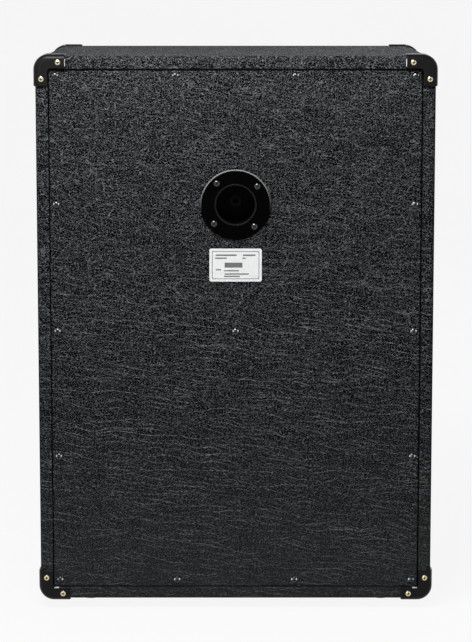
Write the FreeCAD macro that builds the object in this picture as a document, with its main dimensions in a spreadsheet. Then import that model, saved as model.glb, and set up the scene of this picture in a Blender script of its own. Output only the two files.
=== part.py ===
import FreeCAD, Part
import math
import os
import types

import Sketcher

# Closed-back guitar speaker cabinet with two twelve-inch drivers, one above the other.
# Millimetres. The front faces -Y, the rear +Y, Z is up and the feet stand on Z = 0.

SIZES = {
    # Shell: four finger-jointed boards under one vinyl covering
    "cabinet_width": 500,
    "cabinet_depth": 305,
    "board": 15,
    "vinyl": 0.8,
    "side_edge_radius": 17,
    "face_edge_radius": 6,
    "finger_count": 9,
    # Battens and rail inside the shell
    "front_batten": 18,
    "rear_batten": 20,
    "rear_batten_depth": 18,
    "rail_height": 40,
    # Back panel
    "panel_board": 12,
    "panel_gap": 1.2,
    "panel_seat_gap": 0.3,
    "panel_inset": 1.2,
    "panel_edge_radius": 2,
    "panel_screw_margin": 25,
    "panel_screw_columns": 4,
    "panel_screw_rows": 5,
    "panel_screw_head": 7.8,
    "panel_screw_shank": 4,
    "panel_screw_length": 28,
    # Front: grille frame, cloth, piping and baffle
    "grille_recess": 8,
    "grille_cloth": 0.8,
    "grille_strip": 9,
    "grille_strip_width": 20,
    "grille_gap": 0.6,
    "piping_diameter": 5,
    "piping_bend": 8,
    "baffle": 18,
    "baffle_gap": 0.5,
    "baffle_screw_shank": 4,
    "baffle_screw_head": 8,
    "baffle_screw_length": 30,
    "baffle_screw_rows": 4,
    # Corner protectors and their screws
    "corner_leg": 38,
    "corner_arm": 16,
    "corner_shell": 2.2,
    "corner_press": 0.1,
    "corner_web_radius": 4,
    "corner_rim_radius": 1.4,
    "corner_screw_reach": 28.8,
    "corner_screw_head": 7.6,
    "corner_screw_shank": 3.6,
    "corner_screw_length": 20,
    # Feet
    "foot_height": 12,
    "foot_diameter": 38,
    "foot_base_diameter": 32,
    "foot_edge_radius": 2,
    "foot_well_diameter": 13,
    "foot_well_depth": 6,
    "foot_side_margin": 61,
    "foot_end_margin": 56,
    "foot_screw_head": 9,
    "foot_screw_shank": 4.5,
    "foot_screw_length": 18,
    # Side handles
    "handle_width": 160,
    "handle_height": 108,
    "handle_flange": 3,
    "handle_flange_radius": 12,
    "handle_edge_radius": 1.4,
    "handle_mouth_width": 126,
    "handle_mouth_height": 78,
    "handle_mouth_radius": 14,
    "handle_lip_radius": 1.5,
    "handle_depth": 48,
    "handle_wall": 2.6,
    "handle_bar_diameter": 22,
    "handle_bar_sink": 1,
    "handle_rise": 40,
    "handle_opening_gap": 1,
    "handle_screw_margin": 10,
    "handle_screw_head": 8,
    "handle_screw_shank": 4,
    "handle_screw_length": 14,
    # Jack dish
    "dish_flange_diameter": 88.8,
    "dish_flange": 2.6,
    "dish_rim_radius": 1.6,
    "dish_mouth_diameter": 48.5,
    "dish_floor_diameter": 44,
    "dish_depth": 48,
    "dish_wall": 2.4,
    "dish_lip": 1.4,
    "dish_hole_gap": 0.8,
    "dish_screw_circle": 72,
    "dish_screw_count": 4,
    "dish_turn": 4,
    "dish_screw_head": 7.8,
    "dish_screw_shank": 3.6,
    "dish_screw_length": 13,
    # Jack
    "jack_bore": 6.4,
    "jack_thread": 9.4,
    "jack_thread_rise": 6,
    "jack_shoulder": 13,
    "jack_shoulder_depth": 2,
    "jack_nut_width": 12.7,
    "jack_nut_depth": 2.4,
    "jack_washer_diameter": 15,
    "jack_washer_depth": 0.8,
    "jack_sheet": 1.2,
    "jack_frame_width": 15,
    "jack_arm_width": 10,
    "jack_arm_drop": 9.4,
    "jack_arm_length": 26,
    "jack_stack_height": 4.8,
    "jack_stack_length": 8,
    "jack_stack_start": 4.5,
    "jack_spring_width": 5,
    "jack_spring_sheet": 0.5,
    "jack_spring_reach": 15,
    "jack_spring_contact": 2.6,
    "jack_tag_length": 6,
    "jack_tag_width": 4,
    # Label
    "label_width": 66,
    "label_height": 42,
    "label_radius": 2.5,
    "label_sheet": 0.2,
    "label_drop": 76.5,
    # Drivers: mounting and moving parts
    "driver_diameter": 309,
    "driver_gap": 6,
    "driver_clearance": 2.2,
    "driver_rim": 13,
    "driver_bolt_inset": 6,
    "driver_bolt_count": 8,
    "driver_bolt": 5,
    "driver_bolt_head": 9.5,
    "driver_bolt_length": 30,
    "driver_nut_width": 8,
    "driver_nut_depth": 4,
    "gasket": 3,
    "surround_sheet": 0.6,
    "surround_rim": 3.5,
    "surround_width": 10,
    "cone_rim": 4.5,
    "cone_sheet": 0.9,
    "cone_depth": 48,
    "cap_diameter": 84,
    "cap_height": 15,
    "cap_sheet": 0.6,
    "coil_diameter": 44.4,
    "former_sheet": 0.3,
    "winding": 0.7,
    "winding_length": 12,
    "spider_diameter": 148,
    "spider_sheet": 0.6,
    "spider_wave": 1.6,
    "spider_folds": 10,
    "glue_gap": 0.3,
    # Drivers: frame and magnet
    "basket_sheet": 1.4,
    "basket_rim": 12.5,
    "basket_shelf_level": 60,
    "basket_shelf_outer": 152,
    "basket_shelf_inner": 128,
    "basket_plate_level": 80,
    "basket_plate_diameter": 116,
    "basket_plate_hole": 60,
    "basket_window_rim": 8,
    "basket_window_sill": 6,
    "basket_arm_count": 4,
    "basket_window_angle": 72,
    "front_plate": 8,
    "front_plate_diameter": 124,
    "magnet": 20,
    "magnet_diameter": 156,
    "magnet_hole": 74,
    "back_plate": 8,
    "back_plate_diameter": 130,
    "magnet_air_gap": 0.6,
    "terminal_setback": 14,
    "terminal_length": 46,
    "terminal_width": 10,
    "terminal_board": 3,
    "terminal_tag": 7,
    "lead_diameter": 1.4,
    "lead_spread": 38,
    # Wiring
    "cable_diameter": 5,
    "cable_sag": 18,
    "clip_width": 9,
    "clip_wall": 2,
    "clip_offset": 66,
    # Fits shared by all pieces
    "screw_gap": 0.1,
    "overrun": 20,
}

# Shares of a screw's head or of a cross recess
HEAD_RIM_SHARE = 0.12
HEAD_RISE_SHARE = 0.34
RECESS_SPAN_SHARE = 0.56
RECESS_WIDTH_SHARE = 0.16
RECESS_DEPTH_SHARE = 0.22
CORE_SPAN_SHARE = 0.34
CORE_DEPTH_SHARE = 0.3

doc = FreeCAD.newDocument("speaker_cabinet")
sheet = doc.addObject("Spreadsheet::Sheet", "size")


class Size:
    """A size known both as a number and as the spreadsheet expression that gives it."""

    def __init__(self, number, text):
        self.number = number
        self.text = text

    def __add__(self, other):
        other = sized(other)
        return Size(self.number + other.number, f"({self.text} + {other.text})")

    def __radd__(self, other):
        return sized(other) + self

    def __sub__(self, other):
        other = sized(other)
        return Size(self.number - other.number, f"({self.text} - {other.text})")

    def __rsub__(self, other):
        return sized(other) - self

    def __mul__(self, other):
        other = sized(other)
        return Size(self.number * other.number, f"({self.text} * {other.text})")

    def __rmul__(self, other):
        return sized(other) * self

    def __truediv__(self, other):
        other = sized(other)
        return Size(self.number / other.number, f"({self.text} / {other.text})")

    def __neg__(self):
        return Size(-self.number, f"(-{self.text})")

    def root(self):
        return Size(math.sqrt(self.number), f"sqrt({self.text})")


def sized(value):
    """A plain number, such as zero or a share, as a Size."""
    return value if isinstance(value, Size) else Size(value, repr(value))


def filled_sheet():
    """Write every named size into its cell and return them by name."""
    sizes = types.SimpleNamespace()
    for row, (name, number) in enumerate(SIZES.items(), 1):
        sheet.set(f"A{row}", str(number))
        sheet.setAlias(f"A{row}", name)
        setattr(sizes, name, Size(number, f"size.{name}"))
    return sizes


d = filled_sheet()
doc.recompute()

# Places across the cabinet
half_width = d.cabinet_width / 2
half_depth = d.cabinet_depth / 2
wall = d.vinyl + d.board
inner_half_width = half_width - wall
inner_height = 2 * (d.driver_diameter + d.driver_clearance + d.front_batten) + d.driver_gap
cabinet_height = inner_height + 2 * wall
half_height = cabinet_height / 2
inner_half_height = inner_height / 2

# Levels above the floor
underside_level = d.foot_height
mid_level = underside_level + half_height
top_level = underside_level + cabinet_height
floor_level = underside_level + wall
ceiling_level = top_level - wall
upper_level = mid_level + (d.driver_diameter + d.driver_gap) / 2
lower_level = mid_level - (d.driver_diameter + d.driver_gap) / 2

# Stations from the front face to the rear face
front_face = -half_depth
cloth_front = front_face + d.grille_recess
cloth_back = cloth_front + d.grille_cloth
baffle_front = cloth_back + d.grille_strip
baffle_back = baffle_front + d.baffle
panel_face = half_depth - d.panel_inset
panel_wood = panel_face - d.vinyl
panel_back = panel_wood - d.panel_board
batten_face = panel_back - d.rear_batten_depth

# Rows and columns of the back panel's screws
panel_row_pitch = (cabinet_height - 2 * d.panel_screw_margin) / (d.panel_screw_rows - 1)
panel_column_pitch = (d.cabinet_width - 2 * d.panel_screw_margin) / (d.panel_screw_columns - 1)
dish_level = mid_level + panel_row_pitch

UPRIGHT = FreeCAD.Rotation()
TO_REAR = FreeCAD.Rotation(FreeCAD.Vector(1, 0, 0), -90)
TO_FRONT = FreeCAD.Rotation(FreeCAD.Vector(1, 0, 0), 90)
DOWNWARD = FreeCAD.Rotation(FreeCAD.Vector(1, 0, 0), 180)
HALF_TURN = FreeCAD.Rotation(FreeCAD.Vector(0, 0, 1), 180)
TO_RIGHT = FreeCAD.Rotation(FreeCAD.Vector(1, 1, 1), 120)
TO_LEFT = HALF_TURN.multiply(TO_RIGHT)

nodes = []


def node(item):
    """Count an object as a finished sub-part."""
    nodes.append(item)
    return item


def count(size):
    """A named count as a whole number."""
    return round(size.number)


def bind(item, name, value):
    """Tie one property to the sheet."""
    item.setExpression(name, sized(value).text)


def place(item, x=0, y=0, z=0, turn=UPRIGHT):
    """Turn an object, then set it at a place that follows the sheet."""
    item.Placement = FreeCAD.Placement(FreeCAD.Vector(), turn)
    for axis, value in zip("xyz", (x, y, z)):
        bind(item, f"Placement.Base.{axis}", value)
    return item


def block(name, x, y, z):
    """A box between pairs of places."""
    box = doc.addObject("Part::Box", name)
    for side, (low, high) in zip(("Length", "Width", "Height"), (x, y, z)):
        bind(box, side, sized(high) - low)
    return place(box, x[0], y[0], z[0])


def rod(name, diameter, low, high):
    """A cylinder on the Z axis between two levels."""
    cylinder = doc.addObject("Part::Cylinder", name)
    bind(cylinder, "Radius", diameter / 2)
    bind(cylinder, "Height", sized(high) - low)
    return place(cylinder, z=low)


def hexagon(name, width, low, high):
    """A six-sided prism on the Z axis, with its width measured across the flats."""
    prism = doc.addObject("Part::Prism", name)
    prism.Polygon = 6
    bind(prism, "Circumradius", width / sized(3).root())
    bind(prism, "Height", sized(high) - low)
    return place(prism, z=low)


def cut(name, base, *tools):
    """The base with each tool taken away in turn."""
    for step, tool in enumerate(tools, 1):
        result = doc.addObject("Part::Cut", name if step == len(tools) else f"{name}_cut_{step}")
        result.Base = base
        result.Tool = tool
        base = result
    return base


def common(name, first, second):
    """What two objects share."""
    result = doc.addObject("Part::Common", name)
    result.Base = first
    result.Tool = second
    return result


def fuse(name, *items):
    """Several objects made one."""
    result = doc.addObject("Part::MultiFuse", name)
    result.Shapes = list(items)
    return result


def group(name, items):
    """Several separate solids under one name."""
    result = doc.addObject("Part::Compound", name)
    result.Links = items
    return result


def copies(name, source, spots):
    """One source repeated at several spots, each a place and a turn."""
    links = []
    for spot in spots:
        link = doc.addObject("App::Link", f"{name}_{len(links) + 1}")
        link.LinkedObject = source
        link.LinkTransform = True
        links.append(place(link, *spot))
    return group(name, links)


def ring(name, source, number, first_angle=0):
    """One source repeated at even angles about the Z axis."""
    turns = []
    for step in range(number):
        angle = first_angle + step * 360 / number
        turns.append((0, 0, 0, FreeCAD.Rotation(FreeCAD.Vector(0, 0, 1), angle)))
    return copies(name, source, turns)


def mirrored(name, source, normal, level=0):
    """The mirror image of an object across the plane with this normal, at this level."""
    image = doc.addObject("Part::Mirroring", name)
    image.Source = source
    image.Normal = normal
    bind(image, "Base.z", level)
    return image


def sketch_on(body, name, plane):
    """An empty sketch on one of the body's own planes."""
    sketch = body.newObject("Sketcher::SketchObject", name)
    support = next(f for f in body.Origin.OriginFeatures if f.Role == plane)
    sketch.AttachmentSupport = [(support, "")]
    sketch.MapMode = "FlatFace"
    return sketch


def arc_between(start, end, radius, sense):
    """The arc under a half turn from start to end, turning left for sense 1 and right for -1."""
    chord = end - start
    left = FreeCAD.Vector(-chord.y, chord.x) / chord.Length
    rise = math.sqrt(max(0, radius**2 - chord.Length**2 / 4))
    centre = (start + end) / 2 + left * rise * sense
    first, last = (start, end) if sense > 0 else (end, start)
    angles = [math.atan2(p.y - centre.y, p.x - centre.x) for p in (first, last)]
    circle = Part.Circle(centre, FreeCAD.Vector(0, 0, 1), radius)
    return Part.ArcOfCircle(circle, *angles)


def hold(sketch, value, kind, *points):
    """Set one dimension of a sketch and tie it to the sheet."""
    value = sized(value)
    held = sketch.addConstraint(Sketcher.Constraint(kind, *points, value.number))
    if value.text != "0":
        bind(sketch, f"Constraints[{held}]", value)


def outline(body, name, plane, corners):
    """A closed outline through corners (x, y). A corner (x, y, radius, sense) is reached by an arc."""
    sketch = sketch_on(body, name, plane)
    points = [FreeCAD.Vector(sized(c[0]).number, sized(c[1]).number) for c in corners]
    ends = []
    for index, start in enumerate(points):
        following = (index + 1) % len(points)
        bend = corners[following][2:]
        if bend:
            edge = arc_between(start, points[following], bend[0].number, bend[1])
            ends.append((1, 2) if bend[1] > 0 else (2, 1))
        else:
            edge = Part.LineSegment(start, points[following])
            ends.append((1, 2))
        sketch.addGeometry(edge, False)
    for index, (start_end, far_end) in enumerate(ends):
        following = (index + 1) % len(ends)
        meeting = (index, far_end, following, ends[following][0])
        sketch.addConstraint(Sketcher.Constraint("Coincident", *meeting))
        for kind, value in zip(("DistanceX", "DistanceY"), corners[index][:2]):
            hold(sketch, value, kind, -1, 1, index, start_end)
        bend = corners[following][2:]
        if bend:
            hold(sketch, bend[0], "Radius", index)
    return sketch


def draw_circle(sketch, x, y, radius):
    """A circle held by its centre and its radius."""
    middle = FreeCAD.Vector(x.number, y.number)
    sketch.addGeometry(Part.Circle(middle, FreeCAD.Vector(0, 0, 1), radius.number), False)
    for kind, value in (("DistanceX", x), ("DistanceY", y)):
        hold(sketch, value, kind, -1, 1, 0, 3)
    hold(sketch, radius, "Radius", 0)


def rounded_rectangle(half_x, half_y, radius):
    """The corners of a rectangle about the origin, with rounded corners."""
    return [
        (half_x - radius, -half_y),
        (half_x, radius - half_y, radius, 1),
        (half_x, half_y - radius),
        (half_x - radius, half_y, radius, 1),
        (radius - half_x, half_y),
        (-half_x, half_y - radius, radius, 1),
        (-half_x, radius - half_y),
        (radius - half_x, -half_y, radius, 1),
    ]


def turned(name, corners):
    """A solid of revolution about Z. Each corner is a radius and a level."""
    body = doc.addObject("PartDesign::Body", name)
    profile = outline(body, f"{name}_profile", "XZ_Plane", corners)
    revolution = body.newObject("PartDesign::Revolution", f"{name}_turned")
    revolution.Profile = profile
    revolution.ReferenceAxis = (profile, ["V_Axis"])
    revolution.Angle = 360
    return body


def pad(body, name, profile, length, both_ways=False, backwards=False):
    """Raise a sketch into a solid."""
    feature = body.newObject("PartDesign::Pad", name)
    feature.Profile = profile
    bind(feature, "Length", length)
    feature.Midplane = both_ways
    feature.Reversed = backwards
    return feature


def prism(name, plane, corners, length):
    """An outline drawn on a plane and raised by half the length on each side of it."""
    body = doc.addObject("PartDesign::Body", name)
    profile = outline(body, f"{name}_outline", plane, corners)
    pad(body, f"{name}_pad", profile, length, both_ways=True)
    return body


def round_edges(body, name, base, radius, wanted):
    """Round those edges of a feature that answer to a test."""
    doc.recompute()
    fillet = body.newObject("PartDesign::Fillet", name)
    edges = [f"Edge{n}" for n, edge in enumerate(base.Shape.Edges, 1) if wanted(edge)]
    fillet.Base = (base, edges)
    bind(fillet, "Radius", radius)
    return fillet


def across_depth(edge):
    """True for an edge that stays at one depth."""
    return edge.BoundBox.YLength < edge.Length / 2


def screw(name, head, shank, length):
    """A domed wood screw on Z: head upwards from level zero, cross recess with a tapered core, point below."""
    rim = head * HEAD_RIM_SHARE
    rise = head * HEAD_RISE_SHARE
    crown = rise - rim
    dome = (head * head / 4 + crown * crown) / (2 * crown)
    blank = turned(
        f"{name}_blank",
        [
            (0, -length),
            (shank / 2, shank - length),
            (shank / 2, 0),
            (head / 2, 0),
            (head / 2, rim),
            (0, rise, dome, 1),
        ],
    )
    span = head * RECESS_SPAN_SHARE / 2
    slot = head * RECESS_WIDTH_SHARE / 2
    depth = (rise - head * RECESS_DEPTH_SHARE, rise + d.overrun)
    first = block(f"{name}_slot_1", (-span, span), (-slot, slot), depth)
    second = block(f"{name}_slot_2", (-slot, slot), (-span, span), depth)
    core = head * CORE_SPAN_SHARE / 2
    tip = rise - head * CORE_DEPTH_SHARE
    above = rise + d.overrun
    middle = turned(f"{name}_core", [(0, tip), (core, rise), (core, above), (0, above)])
    return cut(name, blank, first, second, middle)


def pilot(name, head, shank, length):
    """The hole that a screw needs: a bore for its shank and a well for its head."""
    bore = shank / 2 + d.screw_gap
    well = head / 2 + d.screw_gap
    tip = -length - d.screw_gap
    return turned(name, [(0, tip), (bore, tip), (bore, 0), (well, 0), (well, d.overrun), (0, d.overrun)])


def fastened(name, head, shank, length, spots):
    """Put a group of like screws at their spots and return the tool that makes room for them."""
    node(copies(name, screw(f"{name}_pattern", head, shank, length), spots))
    holes = copies(f"{name}_holes", pilot(f"{name}_hole", head, shank, length), spots)
    return holes


# The shell's forms


def cabinet_form(name, grow):
    """The cabinet's rounded outer form, moved outwards by grow."""
    body = doc.addObject("PartDesign::Body", name)
    corners = rounded_rectangle(half_width + grow, half_height + grow, d.side_edge_radius + grow)
    profile = outline(body, f"{name}_outline", "XZ_Plane", corners)
    solid = pad(body, f"{name}_pad", profile, d.cabinet_depth + 2 * grow, both_ways=True)
    round_edges(body, f"{name}_edges", solid, d.face_edge_radius + grow, across_depth)
    return place(body, z=mid_level)


def panel_form(name, sink):
    """The back panel's form, low in its opening, with its rear edges rounded, moved inwards by sink."""
    body = doc.addObject("PartDesign::Body", name)
    half_x = inner_half_width - d.panel_gap - sink
    half_z = inner_half_height - d.panel_gap - sink
    corners = [(half_x, -half_z), (half_x, half_z), (-half_x, half_z), (-half_x, -half_z)]
    profile = outline(body, f"{name}_outline", "XZ_Plane", corners)
    thickness = panel_face - panel_back - sink
    solid = pad(body, f"{name}_pad", profile, thickness, backwards=True)

    def at_rear(edge):
        return across_depth(edge) and edge.CenterOfMass.y > solid.Shape.BoundBox.Center.y

    round_edges(body, f"{name}_edges", solid, d.panel_edge_radius - sink, at_rear)
    return place(body, y=panel_back, z=mid_level - d.panel_gap + d.panel_seat_gap)


side_walls = {
    "left": (d.vinyl - half_width, -inner_half_width),
    "right": (inner_half_width, half_width - d.vinyl),
}
level_walls = {
    "bottom": (underside_level + d.vinyl, floor_level),
    "top": (ceiling_level, top_level - d.vinyl),
}
whole_depth = (-half_depth, half_depth)


def corner_cells(name, first):
    """Every other cell along the corners of the shell, where one board's fingers pass the other's."""
    wood_front = d.vinyl - half_depth
    pitch = (d.cabinet_depth - 2 * d.vinyl) / d.finger_count
    cells = []
    for x in side_walls.values():
        for z in level_walls.values():
            for cell in range(first, count(d.finger_count), 2):
                y = (wood_front + cell * pitch, wood_front + (cell + 1) * pitch)
                cells.append(block(f"{name}_{len(cells) + 1}", x, y, z))
    return group(name, cells)


def shell_board(name, x, z, *tools):
    """One board of the shell: a slab within the wooden form, less its finger sockets and holes."""
    slab = block(f"{name}_slab", x, whole_depth, z)
    return node(cut(name, common(f"{name}_blank", wood_form, slab), *tools))


def shell_boards():
    """Top, bottom and side boards, finger-jointed at the corners."""
    side_cells = corner_cells("side_fingers", 1)
    level_cells = corner_cells("level_fingers", 0)
    full_x = (-half_width, half_width)
    full_z = (underside_level, top_level)
    shell_board("top_board", full_x, level_walls["top"], side_cells, corner_holes)
    shell_board("bottom_board", full_x, level_walls["bottom"], side_cells, corner_holes, foot_holes)
    for side, x in side_walls.items():
        tools = (level_cells, corner_holes, handle_openings, handle_holes)
        shell_board(f"{side}_side_board", x, full_z, *tools)


def cabinet_vinyl():
    """The covering round the four boards, over their front and rear edges."""
    skin = cut("cabinet_vinyl_skin", outer_form, wood_form)
    x = (-inner_half_width, inner_half_width)
    y = (-half_depth - d.overrun, half_depth + d.overrun)
    cavity = block("cabinet_cavity", x, y, (floor_level, ceiling_level))
    tools = (cavity, handle_openings, handle_holes, corner_holes, foot_holes, *corner_groups)
    node(cut("cabinet_vinyl", skin, *tools))


# Battens, rail, baffle and grille


def batten_frame(name, half_x, half_z, size, y, *tools):
    """Four strips round an opening: two across the full width and two between them."""
    low = mid_level - half_z
    high = mid_level + half_z
    levels = ((low, low + size), (high - size, high))
    sides = ((-half_x, size - half_x), (half_x - size, half_x))
    strips = [block(f"{name}_level_{n}", (-half_x, half_x), y, z) for n, z in enumerate(levels, 1)]
    between = (levels[0][1], levels[1][0])
    strips += [block(f"{name}_side_{n}", x, y, between) for n, x in enumerate(sides, 1)]
    frame = group(f"{name}_strips" if tools else name, strips)
    return node(cut(name, frame, *tools) if tools else frame)


def front_battens(baffle_holes):
    """Strips behind the baffle, which it is screwed to."""
    y = (baffle_back, baffle_back + d.front_batten)
    batten_frame("front_battens", inner_half_width, inner_half_height, d.front_batten, y, baffle_holes)


def rear_battens():
    """Strips and a cross rail that the back panel is screwed to."""
    y = (batten_face, panel_back)
    batten_frame("rear_battens", inner_half_width, inner_half_height, d.rear_batten, y, panel_holes)
    half_rail = inner_half_width - d.rear_batten
    z = (mid_level - d.rail_height / 2, mid_level + d.rail_height / 2)
    node(cut("rear_cross_rail", block("rear_cross_rail_blank", (-half_rail, half_rail), y, z), panel_holes))


def baffle_spots():
    """Places of the baffle's sunk screws along the side battens and in the middle of the level ones."""
    side = inner_half_width - d.front_batten / 2
    end = inner_half_height - d.front_batten / 2
    pitch = 2 * (end - d.front_batten) / (d.baffle_screw_rows - 1)
    seat = baffle_front + d.baffle_screw_head * HEAD_RISE_SHARE + d.screw_gap
    spots = []
    for row in range(count(d.baffle_screw_rows)):
        level = mid_level - end + d.front_batten + row * pitch
        spots += [(sign * side, seat, level, TO_FRONT) for sign in (-1, 1)]
    spots += [(0, seat, mid_level + sign * end, TO_FRONT) for sign in (-1, 1)]
    return spots


def baffle_board(baffle_holes):
    """The board that carries the drivers, with their cut-outs and bolt holes."""
    half_x = inner_half_width - d.baffle_gap
    half_z = inner_half_height - d.baffle_gap
    y = (baffle_front, baffle_back)
    blank = block("baffle_blank", (-half_x, half_x), y, (mid_level - half_z, mid_level + half_z))
    hole = rod("baffle_cutout", driver_cutout, -d.overrun, d.baffle + d.overrun)
    spots = [(0, baffle_front, level, TO_REAR) for level in (lower_level, upper_level)]
    node(cut("baffle_board", blank, copies("baffle_cutouts", hole, spots), baffle_holes, bolt_holes))


def grille():
    """The grille's four-strip frame, the cloth stretched over it and the piping round its edge."""
    half_x = inner_half_width - d.grille_gap
    half_z = inner_half_height - d.grille_gap
    batten_frame("grille_frame", half_x, half_z, d.grille_strip_width, (cloth_back, baffle_front))
    levels = (mid_level - half_z, mid_level + half_z)
    node(block("grille_cloth", (-half_x, half_x), (cloth_front, cloth_back), levels))
    body = doc.addObject("PartDesign::Body", "grille_piping")
    run_x = half_x - d.piping_diameter / 2
    run_z = half_z - d.piping_diameter / 2
    corners = rounded_rectangle(run_x, run_z, d.piping_bend)
    from_middle = [(run_x, 0)] + corners[2:] + corners[:2]
    path = outline(body, "grille_piping_path", "XZ_Plane", from_middle)
    bead = sketch_on(body, "grille_piping_bead", "XY_Plane")
    draw_circle(bead, run_x, sized(0), d.piping_diameter / 2)
    pipe = body.newObject("PartDesign::AdditivePipe", "grille_piping_pipe")
    pipe.Profile = bead
    pipe.Spine = (path, [f"Edge{n}" for n in range(1, len(from_middle) + 1)])
    node(place(body, y=cloth_front - d.piping_diameter / 2, z=mid_level))


# Back panel and what is on it


def panel_spots():
    """Places of the back panel's screws: its border, and one in the middle on the cross rail."""
    rows = count(d.panel_screw_rows)
    columns = count(d.panel_screw_columns)
    spots = [(0, panel_face, mid_level, TO_REAR)]
    for row in range(rows):
        across = range(columns) if row in (0, rows - 1) else (0, columns - 1)
        level = underside_level + d.panel_screw_margin + row * panel_row_pitch
        for column in across:
            x = d.panel_screw_margin - half_width + column * panel_column_pitch
            spots.append((x, panel_face, level, TO_REAR))
    return spots


def back_panel():
    """The removable back: a board and its covering, with the hole for the jack dish."""
    form = panel_form("back_panel_form", sized(0))
    wood = panel_form("back_panel_wood", d.vinyl)
    bore = d.dish_mouth_diameter + 2 * (d.dish_wall + d.dish_hole_gap)
    hole = rod("dish_opening", bore, -d.overrun, d.overrun)
    place(hole, y=panel_back - d.overrun, z=dish_level, turn=TO_REAR)
    bind(hole, "Height", panel_face - panel_back + 2 * d.overrun)
    node(cut("back_panel", wood, hole, panel_holes, dish_holes))
    node(cut("back_panel_vinyl", form, wood, hole, panel_holes, dish_holes))


def on_dish(item):
    """Set a piece that was made on the dish's axis in its place on the back panel."""
    return place(item, y=panel_face, z=dish_level, turn=TO_REAR)


dish_floor = d.dish_flange - d.dish_depth
dish_seat = dish_floor - d.dish_wall


def jack_dish():
    """The round cup that the jack sits in, its four screws and the holes that they need."""
    mouth = d.dish_mouth_diameter / 2
    rim = d.dish_flange_diameter / 2
    cup = turned(
        "jack_dish_cup",
        [
            (d.jack_thread / 2 + d.screw_gap, dish_seat),
            (d.dish_floor_diameter / 2 + d.dish_wall, dish_seat),
            (mouth + d.dish_wall, 0),
            (rim, 0),
            (rim, d.dish_flange - d.dish_rim_radius),
            (rim - d.dish_rim_radius, d.dish_flange, d.dish_rim_radius, 1),
            (mouth + 2 * d.dish_lip, d.dish_flange),
            (mouth + d.dish_lip, d.dish_flange + d.dish_lip, d.dish_lip, 1),
            (mouth, d.dish_flange, d.dish_lip, 1),
            (d.dish_floor_diameter / 2, dish_floor),
            (d.jack_thread / 2 + d.screw_gap, dish_floor),
        ],
    )
    quarter = 360 / count(d.dish_screw_count)
    first = quarter / 2 - SIZES["dish_turn"]
    spot = [(d.dish_screw_circle / 2, 0, d.dish_flange)]
    pattern = screw("dish_screw_pattern", d.dish_screw_head, d.dish_screw_shank, d.dish_screw_length)
    one = copies("dish_screw_first", pattern, spot)
    screws = ring("jack_dish_screws", one, count(d.dish_screw_count), first)
    node(on_dish(screws))
    tool = pilot("dish_hole", d.dish_screw_head, d.dish_screw_shank, d.dish_screw_length)
    hole = copies("dish_hole_first", tool, spot)
    holes = ring("dish_holes", hole, count(d.dish_screw_count), first)
    node(on_dish(cut("jack_dish", cup, holes)))
    return on_dish(group("dish_holes_placed", [holes]))


def jack():
    """An open-frame quarter-inch jack: bush, frame, insulating stack, tip spring and tags."""
    thread = d.jack_thread / 2
    bore = d.jack_bore / 2
    frame_back = dish_seat - d.jack_sheet
    shoulder_back = frame_back - d.jack_shoulder_depth
    bush = turned(
        "jack_bush",
        [
            (bore, shoulder_back),
            (d.jack_shoulder / 2, shoulder_back),
            (d.jack_shoulder / 2, frame_back),
            (thread, frame_back),
            (thread, dish_floor + d.jack_thread_rise),
            (bore, dish_floor + d.jack_thread_rise),
        ],
    )
    node(on_dish(bush))
    washer_top = dish_floor + d.jack_washer_depth
    opening = d.jack_thread + 2 * d.screw_gap
    washer = rod("jack_washer_blank", d.jack_washer_diameter, dish_floor, washer_top)
    nut = hexagon("jack_nut_blank", d.jack_nut_width, washer_top, washer_top + d.jack_nut_depth)
    for name, blank in (("jack_washer", washer), ("jack_nut", nut)):
        hole = rod(f"{name}_hole", opening, dish_seat, dish_floor + d.overrun)
        node(on_dish(cut(name, blank, hole)))
    arm_outer = d.jack_arm_drop + d.jack_sheet
    half_frame = d.jack_frame_width / 2
    half_arm = d.jack_arm_width / 2
    arm_end = dish_seat - d.jack_arm_length
    across_frame = (-half_frame, half_frame)
    across_arm = (-half_arm, half_arm)
    plate = block("jack_frame_plate", across_frame, (-half_frame, arm_outer), (frame_back, dish_seat))
    arm = block("jack_frame_arm", across_arm, (d.jack_arm_drop, arm_outer), (arm_end, dish_seat))
    hole = rod("jack_frame_hole", opening, arm_end, d.overrun)
    node(on_dish(cut("jack_frame", fuse("jack_frame_blank", plate, arm), hole)))
    stack_top = dish_seat - d.jack_stack_start
    stack_end = stack_top - d.jack_stack_length
    stack_inner = d.jack_arm_drop - d.jack_stack_height
    stack = block("jack_stack_block", across_arm, (stack_inner, d.jack_arm_drop), (stack_end, stack_top))
    node(on_dish(group("jack_stack", [stack])))
    jack_tip_spring(stack_end, d.jack_arm_drop - d.jack_stack_height / 2)
    jack_tags(half_arm, d.jack_arm_drop - d.jack_stack_height / 2, (stack_end + stack_top) / 2)


SPRING_BEND_SHARE = 0.4
SPRING_CONTACT_SHARE = 0.75
SPRING_RETURN_SHARE = 0.6


def jack_tip_spring(root, height):
    """The leaf that presses on the plug's tip, bent to a ridge towards the axis."""
    start = root - d.glue_gap
    top = height - d.jack_spring_sheet / 2
    ridge = d.jack_spring_contact
    inner = [
        (top, start),
        (top, start - d.jack_spring_reach * SPRING_BEND_SHARE),
        (ridge, start - d.jack_spring_reach * SPRING_CONTACT_SHARE),
        (ridge + (top - ridge) * SPRING_RETURN_SHARE, start - d.jack_spring_reach),
    ]
    outer = [(y + d.jack_spring_sheet, z) for y, z in reversed(inner)]
    node(on_dish(prism("jack_tip_spring", "YZ_Plane", inner + outer, d.jack_spring_width)))


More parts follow.
